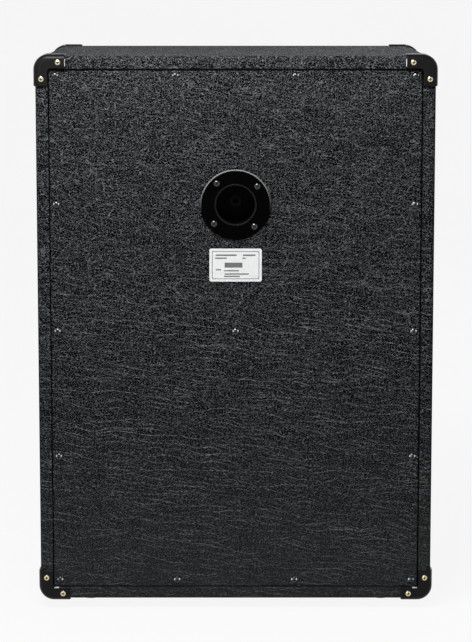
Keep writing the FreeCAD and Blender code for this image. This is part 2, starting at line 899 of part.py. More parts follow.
def jack_tags(inner, height, level):
    """The two soldering tags at the sides of the stack."""
    y = (height - d.jack_sheet / 2, height + d.jack_sheet / 2)
    z = (level - d.jack_tag_width / 2, level + d.jack_tag_width / 2)
    outer = inner + d.jack_tag_length
    right = block("jack_tag_right", (inner, outer), y, z)
    left = block("jack_tag_left", (-outer, -inner), y, z)
    node(on_dish(group("jack_tags", [left, right])))


def label():
    """The plain plate below the dish."""
    corners = rounded_rectangle(d.label_width / 2, d.label_height / 2, d.label_radius)
    plate = prism("label", "XZ_Plane", corners, d.label_sheet)
    node(place(plate, y=panel_face + d.label_sheet / 2, z=dish_level - d.label_drop))


# Corner protectors, feet and handles


def corner_protector():
    """A rear top right protector: a rounded shell over the corner with an L on each of its faces."""
    outer = cabinet_form("corner_outer_form", d.corner_shell)
    inner = cabinet_form("corner_inner_form", -d.corner_press)
    reach = block(
        "corner_reach",
        (half_width - d.corner_leg, half_width + d.overrun),
        (half_depth - d.corner_leg, half_depth + d.overrun),
        (top_level - d.corner_leg, top_level + d.overrun),
    )
    piece = cut("corner_piece", common("corner_cap", outer, reach), inner)
    edges = {"X": half_width, "Y": half_depth, "Z": top_level}
    for plane in ("XY_Plane", "XZ_Plane", "YZ_Plane"):
        near = [edges[axis] - d.corner_arm for axis in plane[:2]]
        far = [edges[axis] - d.corner_leg - d.overrun for axis in plane[:2]]
        corners = [
            (far[0], far[1]),
            (near[0], far[1]),
            (near[0], near[1] - d.corner_web_radius),
            (near[0] - d.corner_web_radius, near[1], d.corner_web_radius, 1),
            (far[0], near[1]),
        ]
        bite = prism(f"corner_bite_{plane[:2]}", plane, corners, 2 * (cabinet_height + d.cabinet_depth))
        piece = cut(f"corner_bitten_{plane[:2]}", piece, bite)
    rounded = doc.addObject("Part::Fillet", "corner_rounded")
    rounded.Base = piece
    radius = SIZES["corner_rim_radius"]
    rounded.Edges = [(number, radius, radius) for number in outer_rim(piece, inner)]
    return rounded


# Share of a half turn past which an edge counts as sharp, and of the shell past which it is on the outside
SHARP_SHARE = 0.25
OUTSIDE_SHARE = 0.9


def outer_rim(piece, inner):
    """Numbers of the sharp edges of a corner shell that lie on its outer face."""
    doc.recompute()
    shape = piece.Shape
    outside = SIZES["corner_shell"] * OUTSIDE_SHARE
    numbers = []
    for number, edge in enumerate(shape.Edges, 1):
        middle = edge.valueAt((edge.FirstParameter + edge.LastParameter) / 2)
        faces = shape.ancestorsOfType(edge, Part.Face)
        normals = [face.normalAt(*face.Surface.parameter(middle)) for face in faces]
        turn = normals[0].getAngle(normals[-1])
        lift = inner.Shape.distToShape(Part.Vertex(middle))[0]
        if turn > math.pi * SHARP_SHARE and lift > outside:
            numbers.append(number)
    return numbers


def corner_spots(sign):
    """Places of the corner screws on the rear (sign 1) or front (sign -1) arms."""
    line = d.corner_arm / 2
    y = sign * (half_depth + d.corner_shell)
    turn = TO_REAR if sign > 0 else TO_FRONT
    spots = []
    for side in (-1, 1):
        for end in (-1, 1):
            for across, down in ((d.corner_screw_reach, line), (line, d.corner_screw_reach)):
                x = side * (half_width - across)
                spots.append((x, y, mid_level + end * (half_height - down), turn))
    return spots


def corner_protectors():
    """Eight protectors, four at the rear and four at the front, each with its screw holes."""
    sideways = FreeCAD.Vector(1, 0, 0)
    lengthways = FreeCAD.Vector(0, 1, 0)
    upwards = FreeCAD.Vector(0, 0, 1)
    bare = corner_protector()
    bare_left = mirrored("corner_top_left", bare, sideways)
    tops = [bare, bare_left]
    bottoms = [mirrored(f"corner_bottom_{n}", top, upwards, mid_level) for n, top in enumerate(tops, 1)]
    rear = tops + bottoms
    front = [mirrored(f"corner_front_{n}", piece, lengthways) for n, piece in enumerate(rear, 1)]
    groups = []
    for name, pieces in (("rear_corners", rear), ("front_corners", front)):
        groups.append(node(cut(name, group(f"{name}_bare", pieces), corner_holes)))
    return groups


def feet():
    """Four tapered rubber feet with a well for the screw head."""
    bore = d.foot_screw_shank / 2 + d.screw_gap
    well = d.foot_well_diameter / 2
    base = d.foot_base_diameter / 2
    edge = d.foot_edge_radius
    foot = turned(
        "foot",
        [
            (bore, d.foot_well_depth),
            (well, d.foot_well_depth),
            (well, 0),
            (base - edge, 0),
            (base, edge, edge, 1),
            (d.foot_diameter / 2, d.foot_height),
            (bore, d.foot_height),
        ],
    )
    node(copies("feet", foot, foot_spots(0, UPRIGHT)))


def foot_spots(level, turn):
    """Places of the four feet."""
    x = half_width - d.foot_side_margin
    y = half_depth - d.foot_end_margin
    return [(i * x, j * y, level, turn) for i in (-1, 1) for j in (-1, 1)]


handle_level = mid_level + d.handle_rise
handle_sides = (("left", -half_width, TO_LEFT), ("right", half_width, TO_RIGHT))


def handle_spots():
    """Places of the handle screws at the corners of both flanges."""
    along = d.handle_width / 2 - d.handle_screw_margin
    up = d.handle_height / 2 - d.handle_screw_margin
    spots = []
    for sign, turn in ((-1, TO_LEFT), (1, TO_RIGHT)):
        for y in (-along, along):
            for z in (handle_level - up, handle_level + up):
                spots.append((sign * (half_width + d.handle_flange), y, z, turn))
    return spots


def handle_cutouts():
    """The openings in the side boards that the handles drop into."""
    gap = d.handle_wall + d.handle_opening_gap
    along = d.handle_mouth_width / 2 + gap
    up = d.handle_mouth_height / 2 + gap
    z = (handle_level - up, handle_level + up)
    left = (-half_width - d.overrun, d.overrun - inner_half_width)
    right = (inner_half_width - d.overrun, half_width + d.overrun)
    return group(
        "handle_openings",
        [block(f"handle_opening_{n}", x, (-along, along), z) for n, x in enumerate((left, right), 1)],
    )


def handle(name):
    """A recessed handle on Z: flange, cup below it and a grip bar across the upper part of the mouth."""
    body = doc.addObject("PartDesign::Body", f"{name}_body")
    flange = rounded_rectangle(d.handle_width / 2, d.handle_height / 2, d.handle_flange_radius)
    flange_outline = outline(body, f"{name}_flange_outline", "XY_Plane", flange)
    plate = pad(body, f"{name}_flange", flange_outline, d.handle_flange)

    def upper_rim(edge):
        return edge.BoundBox.ZMin > plate.Shape.BoundBox.Center.z

    round_edges(body, f"{name}_rim", plate, d.handle_edge_radius, upper_rim)
    half_x = d.handle_mouth_width / 2
    half_y = d.handle_mouth_height / 2
    skin = d.handle_wall
    cup = rounded_rectangle(half_x + skin, half_y + skin, d.handle_mouth_radius + skin)
    cup_outline = outline(body, f"{name}_cup_outline", "XY_Plane", cup)
    pad(body, f"{name}_cup", cup_outline, d.handle_depth + skin - d.handle_flange, backwards=True)
    opening = rounded_rectangle(half_x, half_y, d.handle_mouth_radius)
    mouth = outline(body, f"{name}_mouth", "XY_Plane", opening)
    bind(mouth, "AttachmentOffset.Base.z", d.handle_flange)
    hollow = body.newObject("PartDesign::Pocket", f"{name}_hollow")
    hollow.Profile = mouth
    bind(hollow, "Length", d.handle_depth)

    def mouth_lip(edge):
        centre = edge.CenterOfMass
        inside = abs(centre.x) < between[0].number and abs(centre.y) < between[1].number
        return inside and upper_rim(edge)

    between = [(half_x + d.handle_width / 2) / 2, (half_y + d.handle_height / 2) / 2]
    round_edges(body, f"{name}_lip", hollow, d.handle_lip_radius, mouth_lip)
    bar = sketch_on(body, f"{name}_bar_section", "YZ_Plane")
    radius = d.handle_bar_diameter / 2
    height = half_y + d.handle_wall - radius
    sink = d.handle_flange - d.handle_bar_sink - radius
    draw_circle(bar, height, sink, radius)
    pad(body, f"{name}_bar", bar, d.handle_mouth_width + d.handle_wall, both_ways=True)
    return body


def handles():
    """Both side handles in their openings."""
    for side, x, turn in handle_sides:
        name = f"{side}_handle"
        placed = copies(f"{name}_placed", handle(name), [(x, 0, handle_level, turn)])
        node(cut(name, placed, handle_holes))


# Drivers, each made on its own axis with level zero on the rear of the baffle and levels rising to the rear

flange_level = d.gasket + d.surround_sheet
cone_level = flange_level + d.glue_gap
coil_inner = d.coil_diameter / 2
coil_outer = coil_inner + d.former_sheet
basket_seat = d.basket_plate_level + d.basket_sheet
magnet_level = basket_seat + d.front_plate
back_plate_level = magnet_level + d.magnet
driver_depth = back_plate_level + d.back_plate
driver_cutout = d.driver_diameter - 2 * d.driver_rim
driver_bolt_circle = d.driver_diameter - 2 * d.driver_bolt_inset
cone_diameter = driver_cutout - 2 * d.surround_width
cone_slope = d.cone_depth / (cone_diameter / 2 - d.cone_rim - coil_outer)
basket_shoulder = d.driver_diameter / 2 - d.basket_rim
basket_slope = (d.basket_shelf_level - flange_level) / (basket_shoulder - d.basket_shelf_outer / 2)
terminal_radius = d.basket_shelf_outer / 2 + d.terminal_setback
terminal_seat = flange_level + 2 * d.basket_sheet + (basket_shoulder - terminal_radius) * basket_slope
driver_seats = {
    "upper": (0, baffle_back, upper_level, TO_REAR),
    "lower": (0, baffle_back, lower_level, TO_REAR.multiply(HALF_TURN)),
}


def washer(name, inner, outer, low, high):
    """A flat ring between two diameters and two levels."""
    return turned(name, [(inner / 2, low), (outer / 2, low), (outer / 2, high), (inner / 2, high)])


def cone_front(radius):
    """The level of the cone's front face at a radius."""
    return cone_level + (cone_diameter / 2 - d.cone_rim - radius) * cone_slope


def driver_bolts():
    """Machine bolts through the baffle and the drivers' rims, with their nuts, and the holes for them."""
    tip = d.driver_bolt_length - d.baffle
    rise = d.driver_bolt_head * HEAD_RISE_SHARE
    half_head = d.driver_bolt_head / 2
    dome = (half_head * half_head + rise * rise) / (2 * rise)
    bolt = turned(
        "driver_bolt",
        [
            (0, -d.baffle - rise),
            (half_head, -d.baffle, dome, 1),
            (d.driver_bolt / 2, -d.baffle),
            (d.driver_bolt / 2, tip),
            (0, tip),
        ],
    )
    hole = rod("driver_bolt_hole", d.driver_bolt + 2 * d.screw_gap, -d.baffle - d.overrun, tip + d.overrun)
    seat = flange_level + d.basket_sheet
    blank = hexagon("driver_nut_blank", d.driver_nut_width, seat, seat + d.driver_nut_depth)
    bore = rod("driver_nut_bore", d.driver_bolt + 2 * d.screw_gap, 0, d.driver_bolt_length)
    nut = cut("driver_nut", blank, bore)
    number = count(d.driver_bolt_count)
    tools = {}
    for name, source in (("driver_bolts", bolt), ("driver_nuts", nut), ("driver_bolt_holes", hole)):
        out = copies(f"{name}_first", source, [(driver_bolt_circle / 2, 0, 0)])
        circle = ring(f"{name}_circle", out, number, 180 / number)
        tools[name] = copies(name, circle, driver_seats.values())
        tools[f"{name}_circle"] = circle
    node(tools["driver_bolts"])
    node(tools["driver_nuts"])
    return tools["driver_bolt_holes"], tools["driver_bolt_holes_circle"]


def basket(name):
    """The pressed frame: bolting rim, four arms, spider shelf and the plate on the magnet."""
    rim = d.driver_diameter / 2
    shoulder = basket_shoulder
    shelf_outer = d.basket_shelf_outer / 2
    shelf_inner = d.basket_shelf_inner / 2
    foot = d.basket_plate_diameter / 2
    hole = d.basket_plate_hole / 2
    steel = d.basket_sheet
    bowl = turned(
        f"{name}_bowl",
        [
            (rim, flange_level),
            (shoulder, flange_level),
            (shelf_outer, d.basket_shelf_level),
            (shelf_inner, d.basket_shelf_level),
            (foot, d.basket_plate_level),
            (hole, d.basket_plate_level),
            (hole, basket_seat),
            (foot + steel, basket_seat),
            (shelf_inner + steel, d.basket_shelf_level + steel),
            (shelf_outer + steel, d.basket_shelf_level + steel),
            (shoulder + steel, flange_level + steel),
            (rim, flange_level + steel),
        ],
    )
    window_outer = 2 * (shoulder - d.basket_window_rim)
    window_inner = 2 * (shelf_outer + d.basket_window_sill)
    wide = rod(f"{name}_window_outer", window_outer, -d.overrun, driver_depth)
    narrow = rod(f"{name}_window_inner", window_inner, -2 * d.overrun, driver_depth + d.overrun)
    bind(wide, "Angle", d.basket_window_angle)
    arms = count(d.basket_arm_count)
    first = (360 / arms - SIZES["basket_window_angle"]) / 2
    windows = ring(f"{name}_windows", cut(f"{name}_window", wide, narrow), arms, first)
    return cut(name, bowl, windows, bolt_circle)


ROLL_SHARE = 1.1


def surround(name):
    """The rim that lets the cone move: a clamped edge, one roll towards the front and a lip on the cone."""
    front = d.gasket
    back = d.gasket + d.surround_sheet
    outer = driver_cutout / 2
    inner = cone_diameter / 2
    half = (outer - inner) / 2
    middle = (outer + inner) / 2
    roll = half * ROLL_SHARE
    fall = (roll * roll - half * half).root()
    thin = roll - d.surround_sheet
    drop = fall - d.surround_sheet
    half_back = (thin * thin - drop * drop).root()
    return turned(
        name,
        [
            (outer + d.surround_rim, front),
            (outer + d.surround_rim, back),
            (middle + half_back, back),
            (middle - half_back, back, thin, -1),
            (inner - d.cone_rim, back),
            (inner - d.cone_rim, front),
            (inner, front),
            (outer, front, roll, 1),
        ],
    )


NECK_BACK_SHARE = 1.5


def cone(name):
    """The paper cone: a flat rim under the surround and a straight flare down to the coil."""
    rim = cone_diameter / 2
    flare = rim - d.cone_rim
    back = d.cone_sheet
    neck_back = back * NECK_BACK_SHARE
    neck = coil_outer + d.screw_gap
    return turned(
        name,
        [
            (rim, cone_level),
            (rim, cone_level + back),
            (flare + back / 2, cone_level + back),
            (neck, cone_front(neck) + neck_back),
            (neck, cone_front(neck)),
            (flare, cone_level),
        ],
    )


def dust_cap(name):
    """The dome glued over the middle of the cone."""
    edge = d.cap_diameter / 2
    seat = cone_front(edge) - d.screw_gap
    inside = edge - 2 * d.cap_sheet
    low = d.cap_height - d.cap_sheet
    outer = (edge * edge + d.cap_height * d.cap_height) / (2 * d.cap_height)
    inner = (inside * inside + low * low) / (2 * low)
    return turned(
        name,
        [
            (0, seat - d.cap_height),
            (edge, seat, outer, 1),
            (inside, seat),
            (0, seat - low, inner, -1),
        ],
    )


def voice_coil(name):
    """The former and the winding round its end, in the magnet's air gap."""
    start = cone_front(coil_outer)
    middle = basket_seat + d.front_plate / 2
    low = middle - d.winding_length / 2
    high = middle + d.winding_length / 2
    return turned(
        name,
        [
            (coil_inner, start),
            (coil_outer, start),
            (coil_outer, low),
            (coil_outer + d.winding, low),
            (coil_outer + d.winding, high),
            (coil_outer, high),
            (coil_inner, high),
        ],
    )


def spider(name):
    """The folded disc that centres the coil, glued to the basket's shelf."""
    inner = coil_outer + d.glue_gap
    rim = d.basket_shelf_inner / 2 + (d.spider_diameter - d.basket_shelf_inner) / 4
    outer = d.spider_diameter / 2
    level = d.basket_shelf_level - d.spider_sheet
    folds = count(d.spider_folds)
    front = [(outer, level), (rim, level)]
    for fold in range(1, folds):
        rise = level - d.spider_wave if fold % 2 else level
        front.append((rim + (inner - rim) * (fold / folds), rise))
    front.append((inner, level - d.spider_wave / 2))
    back = [(radius, height + d.spider_sheet) for radius, height in reversed(front)]
    return turned(name, front + back)


def back_plate(name):
    """The rear plate with the pole that stands in the coil."""
    pole = coil_inner - d.magnet_air_gap
    rim = d.back_plate_diameter / 2
    return turned(
        name,
        [
            (0, basket_seat),
            (0, driver_depth),
            (rim, driver_depth),
            (rim, back_plate_level),
            (pole, back_plate_level),
            (pole, basket_seat),
        ],
    )


def terminal(name):
    """The board across one arm of the basket, with a soldering tag at each end."""
    near = terminal_radius
    far = near + d.terminal_width
    half = d.terminal_length / 2
    half_lead = d.lead_spread / 2
    seat = terminal_seat
    board = block(f"{name}_board", (near, far), (-half, half), (seat, seat + d.terminal_board))
    tags = []
    for side in (-1, 1):
        y = (side * half_lead - d.jack_tag_width / 2, side * half_lead + d.jack_tag_width / 2)
        z = (seat + d.terminal_board / 2, seat + d.terminal_board / 2 + d.jack_spring_sheet)
        tags.append(block(f"{name}_tag_{side + 2}", (far, far + d.terminal_tag), y, z))
    return group(name, [board] + tags)


LEAD_LANDING_SHARE = 0.5
LEAD_DROP_SHARE = 0.5
LEAD_SAG_SHARE = 0.3


def flexible_leads(name):
    """Two braided leads from the terminal's front, through the windows, to the back of the cone."""
    radius = cone_diameter / 2 * LEAD_LANDING_SHARE
    landing = cone_front(radius) + d.cone_sheet * 2 + d.glue_gap
    start_x = (terminal_radius + d.terminal_width / 2).number
    front = (terminal_seat - d.glue_gap).number
    drop = front - landing.number
    solids = []
    for side in (-1, 1):
        y = side * d.lead_spread.number / 2
        end_x = math.sqrt(radius.number**2 - y**2)
        bend_x = end_x + (start_x - end_x) * LEAD_SAG_SHARE
        points = [
            FreeCAD.Vector(start_x, y, front),
            FreeCAD.Vector(start_x, y, front - drop * LEAD_DROP_SHARE),
            FreeCAD.Vector(bend_x, y, landing.number + drop * LEAD_SAG_SHARE),
            FreeCAD.Vector(end_x, y, landing.number),
        ]
        solids.append(tube(points, d.lead_diameter.number))
    leads = doc.addObject("Part::Feature", name)
    leads.Shape = Part.makeCompound(solids)
    return leads


BEND_SHARE = 0.45


def tube(points, diameter):
    """A round tube along straight runs joined by tangent arcs, each as large as its runs allow."""
    edges = []
    start = points[0]
    for before, corner, after in zip(points, points[1:], points[2:]):
        into = corner - before
        out = after - corner
        back = BEND_SHARE * min(into.Length, out.Length)
        into.normalize()
        out.normalize()
        half_turn = into.getAngle(out) / 2
        radius = back / math.tan(half_turn)
        leave = corner - into * back
        join = corner + out * back
        inward = (out - into).normalize()
        middle = corner + inward * (radius / math.cos(half_turn) - radius)
        edges += [Part.LineSegment(start, leave).toShape(), Part.Arc(leave, middle, join).toShape()]
        start = join
    edges.append(Part.LineSegment(start, points[-1]).toShape())
    path = Part.Wire(edges)
    ring_edge = Part.makeCircle(diameter / 2, points[0], points[1] - points[0])
    solid = path.makePipeShell([Part.Wire([ring_edge])], True, False)
    expected = math.pi * diameter**2 / 4 * path.Length
    if abs(solid.Volume / expected - 1) > VOLUME_TOLERANCE_SHARE:
        raise ValueError("a tube's volume differs from its section times its length")
    return solid


VOLUME_TOLERANCE_SHARE = 0.01


def driver_fittings():
    """What both drivers have alike outside their frames: the gaskets on the baffle and the terminals."""
    blank = washer("driver_gasket_ring", driver_cutout, d.driver_diameter, 0, d.gasket)
    node(copies("driver_gaskets", cut("driver_gasket", blank, bolt_circle), driver_seats.values()))
    node(copies("driver_terminals", terminal("driver_terminal"), driver_seats.values()))


def driver(side):
    """One driver behind the baffle."""
    gap_outer = 2 * (coil_outer + d.winding + d.magnet_air_gap)
    pieces = [
        surround(f"{side}_surround"),
        basket(f"{side}_basket"),
        cone(f"{side}_cone"),
        dust_cap(f"{side}_dust_cap"),
        voice_coil(f"{side}_voice_coil"),
        spider(f"{side}_spider"),
        washer(f"{side}_front_plate", gap_outer, d.front_plate_diameter, basket_seat, magnet_level),
        washer(f"{side}_magnet", d.magnet_hole, d.magnet_diameter, magnet_level, back_plate_level),
        back_plate(f"{side}_back_plate"),
        flexible_leads(f"{side}_leads"),
    ]
    for piece in pieces:
        node(place(piece, *driver_seats[side]))


# Cable routes as shares of the way across, back and down from one end to the other, and of the sag
UPPER_ROUTE_SHARES = (
    (0, 0, 0, 0),
    (0.28, 0, 0, 0),
    (0.74, 0.18, 0.3, 1),
    (1, 0.46, 0.7, 1),
    (1, 0.76, 1, 0),
    (1, 1, 1, 0),
)
ROUTE_TO_CLIP_SHARES = (
    (0, 0, 0, 0),
    (0.3, 0, 0, 0),
    (0.62, 0.06, 0.2, 0),
    (0.84, 0.5, 0.48, 0),
    (1, 1, 0.78, 0),
)
ROUTE_FROM_CLIP_SHARES = (
    (0, 0, 0.2, 0),
    (0.28, 0.16, 0.48, 0),
    (0.72, 0.4, 0.78, 0),
    (1, 0.68, 1, 0),
    (1, 1, 1, 0),
)


def route(start, end, shares):
    """Points between two ends, each moved by its shares of the way and lowered by its share of the sag."""
    points = []
    for across, back, down, sag in shares:
        x = start.x + (end.x - start.x) * across
        y = start.y + (end.y - start.y) * back
        z = start.z + (end.z - start.z) * down - d.cable_sag.number * sag
        points.append(FreeCAD.Vector(x, y, z))
    return points


def speaker_cables():
    """The two cables inside, from the jack's tags to the drivers' terminals."""
    tag = (d.jack_arm_width / 2 + d.jack_tag_length + d.glue_gap).number
    jack_y = (panel_face + dish_seat - d.jack_stack_start - d.jack_stack_length / 2).number
    jack_z = (dish_level - d.jack_arm_drop + d.jack_stack_height / 2).number
    post = (terminal_radius + d.terminal_width / 2).number
    end_y = (baffle_back + terminal_seat + d.terminal_board + d.glue_gap).number
    clip = FreeCAD.Vector(-d.clip_offset.number, clip_line.number, mid_level.number)
    upper_end = FreeCAD.Vector(post, end_y, upper_level.number)
    lower_end = FreeCAD.Vector(-post, end_y, lower_level.number)
    upper_points = route(FreeCAD.Vector(tag, jack_y, jack_z), upper_end, UPPER_ROUTE_SHARES)
    lower_points = route(FreeCAD.Vector(-tag, jack_y, jack_z), clip, ROUTE_TO_CLIP_SHARES)
    lower_points += route(clip, lower_end, ROUTE_FROM_CLIP_SHARES)
    both = doc.addObject("Part::Feature", "speaker_cables")
    diameter = d.cable_diameter.number
    both.Shape = Part.makeCompound([tube(upper_points, diameter), tube(lower_points, diameter)])
    node(both)


clip_line = batten_face - d.clip_wall - d.cable_diameter / 2


def cable_clip():
    """The saddle that holds the lower cable on the cross rail."""
    reach = d.cable_diameter / 2 + d.clip_wall
    x = (-d.clip_offset - reach, reach - d.clip_offset)
    z = (mid_level - d.clip_width / 2, mid_level + d.clip_width / 2)
    saddle = block("cable_clip_blank", x, (clip_line - reach, batten_face), z)
    bore = rod("cable_clip_bore", d.cable_diameter + 2 * d.glue_gap, -d.overrun, d.overrun)
    node(cut("cable_clip", saddle, place(bore, -d.clip_offset, clip_line, mid_level - d.overrun)))


# Assembly

outer_form = cabinet_form("outer_form", sized(0))
wood_form = cabinet_form("wood_form", -d.vinyl)

corner_size = (d.corner_screw_head, d.corner_screw_shank, d.corner_screw_length)
corner_holes = fastened("corner_screws", *corner_size, corner_spots(1) + corner_spots(-1))
panel_size = (d.panel_screw_head, d.panel_screw_shank, d.panel_screw_length)
panel_holes = fastened("back_panel_screws", *panel_size, panel_spots())
baffle_size = (d.baffle_screw_head, d.baffle_screw_shank, d.baffle_screw_length)
baffle_screw_holes = fastened("baffle_screws", *baffle_size, baffle_spots())
foot_size = (d.foot_screw_head, d.foot_screw_shank, d.foot_screw_length)
foot_holes = fastened("foot_screws", *foot_size, foot_spots(d.foot_well_depth, DOWNWARD))
handle_size = (d.handle_screw_head, d.handle_screw_shank, d.handle_screw_length)
handle_holes = fastened("handle_screws", *handle_size, handle_spots())

handle_openings = handle_cutouts()
corner_groups = corner_protectors()
shell_boards()
cabinet_vinyl()
rear_battens()
front_battens(baffle_screw_holes)
bolt_holes, bolt_circle = driver_bolts()
baffle_board(baffle_screw_holes)
grille()
dish_holes = jack_dish()
back_panel()
jack()
label()
feet()
handles()
driver_fittings()
for side in driver_seats:
    driver(side)
cable_clip()
speaker_cables()

doc.recompute()
failed = [item.Name for item in doc.Objects if {"Invalid", "Error"} & set(item.State)]
failed += [item.Name for item in nodes if item.Shape.isNull() or not item.Shape.isValid()]
if failed:
    raise RuntimeError(f"not built: {failed}")
os.makedirs("parts", exist_ok=True)
for item in nodes:
    item.Shape.exportStep(f"parts/{item.Label}.step")
print(len(nodes), "sub-parts written")
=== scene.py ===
import math

import bpy
import numpy as np
from bpy.props import FloatProperty, FloatVectorProperty, IntProperty, PointerProperty
from bpy.types import NodeSocket, Operator, Panel, PropertyGroup
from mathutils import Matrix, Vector


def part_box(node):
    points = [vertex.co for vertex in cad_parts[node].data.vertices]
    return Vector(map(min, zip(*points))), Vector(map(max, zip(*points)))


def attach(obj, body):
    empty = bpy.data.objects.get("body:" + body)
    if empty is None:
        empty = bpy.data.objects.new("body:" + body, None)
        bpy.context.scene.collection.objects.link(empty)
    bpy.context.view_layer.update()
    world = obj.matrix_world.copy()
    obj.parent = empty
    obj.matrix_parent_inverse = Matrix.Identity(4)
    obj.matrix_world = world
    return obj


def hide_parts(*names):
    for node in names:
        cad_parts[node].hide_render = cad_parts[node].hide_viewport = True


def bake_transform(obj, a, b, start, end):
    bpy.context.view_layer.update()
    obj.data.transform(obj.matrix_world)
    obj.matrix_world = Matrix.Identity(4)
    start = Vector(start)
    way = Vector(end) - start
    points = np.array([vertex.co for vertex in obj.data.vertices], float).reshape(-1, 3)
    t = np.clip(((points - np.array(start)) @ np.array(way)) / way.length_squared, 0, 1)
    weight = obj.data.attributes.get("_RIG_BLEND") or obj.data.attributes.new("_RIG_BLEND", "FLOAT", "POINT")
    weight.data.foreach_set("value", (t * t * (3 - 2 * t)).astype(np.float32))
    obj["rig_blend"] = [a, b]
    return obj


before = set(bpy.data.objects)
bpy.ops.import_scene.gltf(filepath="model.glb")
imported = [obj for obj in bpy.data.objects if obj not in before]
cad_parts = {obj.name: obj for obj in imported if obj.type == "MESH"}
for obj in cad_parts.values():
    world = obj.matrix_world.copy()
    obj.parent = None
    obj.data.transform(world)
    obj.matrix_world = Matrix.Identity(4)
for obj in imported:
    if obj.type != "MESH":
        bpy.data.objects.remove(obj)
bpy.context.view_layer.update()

bl_info = {
    "name": "Guitar Speaker Cabinet",
    "version": (1, 0, 0),
    "blender": (4, 5, 0),
    "location": "View3D > Sidebar > Cabinet",
    "description": "Dresses the frame of a closed guitar speaker cabinet in vinyl, cloth, plastic and metal",
    "category": "Object",
}


# Fixed values, with lengths in metres

# Heights on the covering over which streaks turn into speckle, creases grow faint and cracks appear
SPECKLE_ZONE = (0.45, 0.7)
CREASE_ZONE = (0.24, 0.48)
CRACK_ZONE = (0.24, 0.42)

# Depths below the top face over which the covering turns level
TOP_TURN = (0.006, 0.0005)

# Painted highlights on the protectors' arm ends and inner corners: depth and width, span below the top and
# span past the arm
GLINT_DEPTH = 0.003
GLINT_WIDTH = 0.001
GLINT_BELOW = (0.015, 0.006)
GLINT_PAST = (0.0075, 0.0015)

# Painted highlights on the dish: inwards and outwards of its rim, and outwards of its mouth
RIM_GLINT = (0.0011, 0.001)
MOUTH_GLINT = 0.0022

# Depths below a screw's crown over which painted shade gives way to plate, and the dome above a dark screw's
# crown
RECESS_SHADE = (0.0011, 0.0007)
DOME = 0.0006

# Half the width of the stain's soft edge on the boards, and its colour
STAIN_EDGE = 0.003
STAIN = (0.003, 0.003, 0.003)

# Bars on the label: place across and up, half width and half height, as shares of the plate's half sizes
BAR_SHARES = (
    (0.36, 0.6, 0.4, 0.045), (0.56, 0.42, 0.22, 0.04), (-0.52, 0.6, 0.24, 0.045), (-0.32, 0.42, 0.06, 0.04),
    (0.08, 0.0, 0.34, 0.15), (0.66, -0.28, 0.1, 0.04), (0.16, -0.34, 0.28, 0.035), (-0.04, -0.54, 0.46, 0.04),
    (0.14, -0.68, 0.3, 0.04),
)

# Label: how far its ruling stands out, and the least radius of a loop on it
INK_LIFT = 0.00003
LEAST_RADIUS = 0.0002

# Shares: the label's bevel of its thickness, the start of that bevel, and the border's corner of the plate's
BEVEL = 0.4
BEVEL_START = 0.3
BORDER_CORNER = 0.6

# Radius of the surround's roll as a share of half its width
ROLL_ARC = 1.1

# Control points of a braided lead: way out from the driver's axis, depth behind the baffle, and its rise
LEAD_OUT = (0.095, 0.095, 0.07256, 0.06294)
LEAD_BEHIND = (0.05054, 0.04234, 0.03905, 0.03413)
LEAD_RISE = 0.019

# Points of the two cables, from the jack's tags to the drivers' terminals
CABLE_ROUTES = (
    (
        (0.0113, 0.095, 0.5145), (0.03474, 0.095, 0.5145), (0.07324, 0.06664, 0.4974),
        (0.095, 0.02252, 0.4986), (0.095, -0.02475, 0.5175), (0.095, -0.06256, 0.5175),
    ),
    (
        (-0.0113, 0.095, 0.5145), (-0.02771, 0.095, 0.5145), (-0.04521, 0.09626, 0.4836),
        (-0.05725, 0.1055, 0.44034), (-0.066, 0.116, 0.39399), (-0.066, 0.116, 0.3285),
        (-0.07412, 0.08743, 0.2844), (-0.08688, 0.04457, 0.23715), (-0.095, -0.00542, 0.2025),
        (-0.095, -0.06256, 0.2025),
    ),
)

# Divisions of the meshes
CLOTH_RATIO = 1.42
PLATE_STEPS = 10
BORDER_STEPS = 8
SURROUND_TURN = 128
SPIDER_TURN = 96
ROLL_STEPS = 17
WAVE_STEPS = 24
LEAD_STEPS = 24
LEAD_SIDES = 12
FLOOR_STEPS = 46
FLOOR_TURN = 64

# Width of the camera's film in millimetres, and the camera's place across
FILM = 36.0
CAMERA_ACROSS = -0.0005

# Floor: its reach, its level part, the steepness of the backdrop, and its drop below the feet
FLOOR_REACH = 9.0
FLOOR_LEVEL = 4.0
FLOOR_CURL = 0.35
FLOOR_DROP = 0.0003

# Strength of the floor's own light to the camera and in reflections, and its share there
FLOOR_GLOW = 1.05
GLOW_SHARE = 0.93

# Lamps: name, place, point that it is turned to, width and height, and the setting of its power
LAMPS = (
    ("key_lamp", (0.25, 0.68, 1.5), (0.0, 0.16, 0.46), (0.7, 0.35), "key"),
    ("rear_fill", (1.0, 2.6, 1.0), (0.0, 0.0, 0.36), (1.0, 1.6), "fill"),
    ("front_fill", (-0.9, -2.2, 1.6), (0.0, 0.0, 0.36), (1.8, 1.4), "fill"),
)


# Properties that a user would change

def colour(name, thing, default):
    """The colour of a thing, in linear light."""
    words = f"Colour of {thing}"
    return FloatVectorProperty(
        name=name, description=words, default=default, subtype="COLOR", min=0.0, max=1.0
    )


def number(name, description, default, **limits):
    """A number."""
    return FloatProperty(name=name, description=description, default=default, **limits)


def length(name, description, default):
    """A length in metres."""
    return number(name, description, default, min=0.0, precision=5, unit="LENGTH", subtype="DISTANCE")


def share(name, description, default):
    """A share from nothing to all."""
    return number(name, description, default, min=0.0, max=1.0, subtype="FACTOR")


def count(name, description, default, low, high):
    """A whole number."""
    return IntProperty(name=name, description=description, default=default, min=low, max=high)


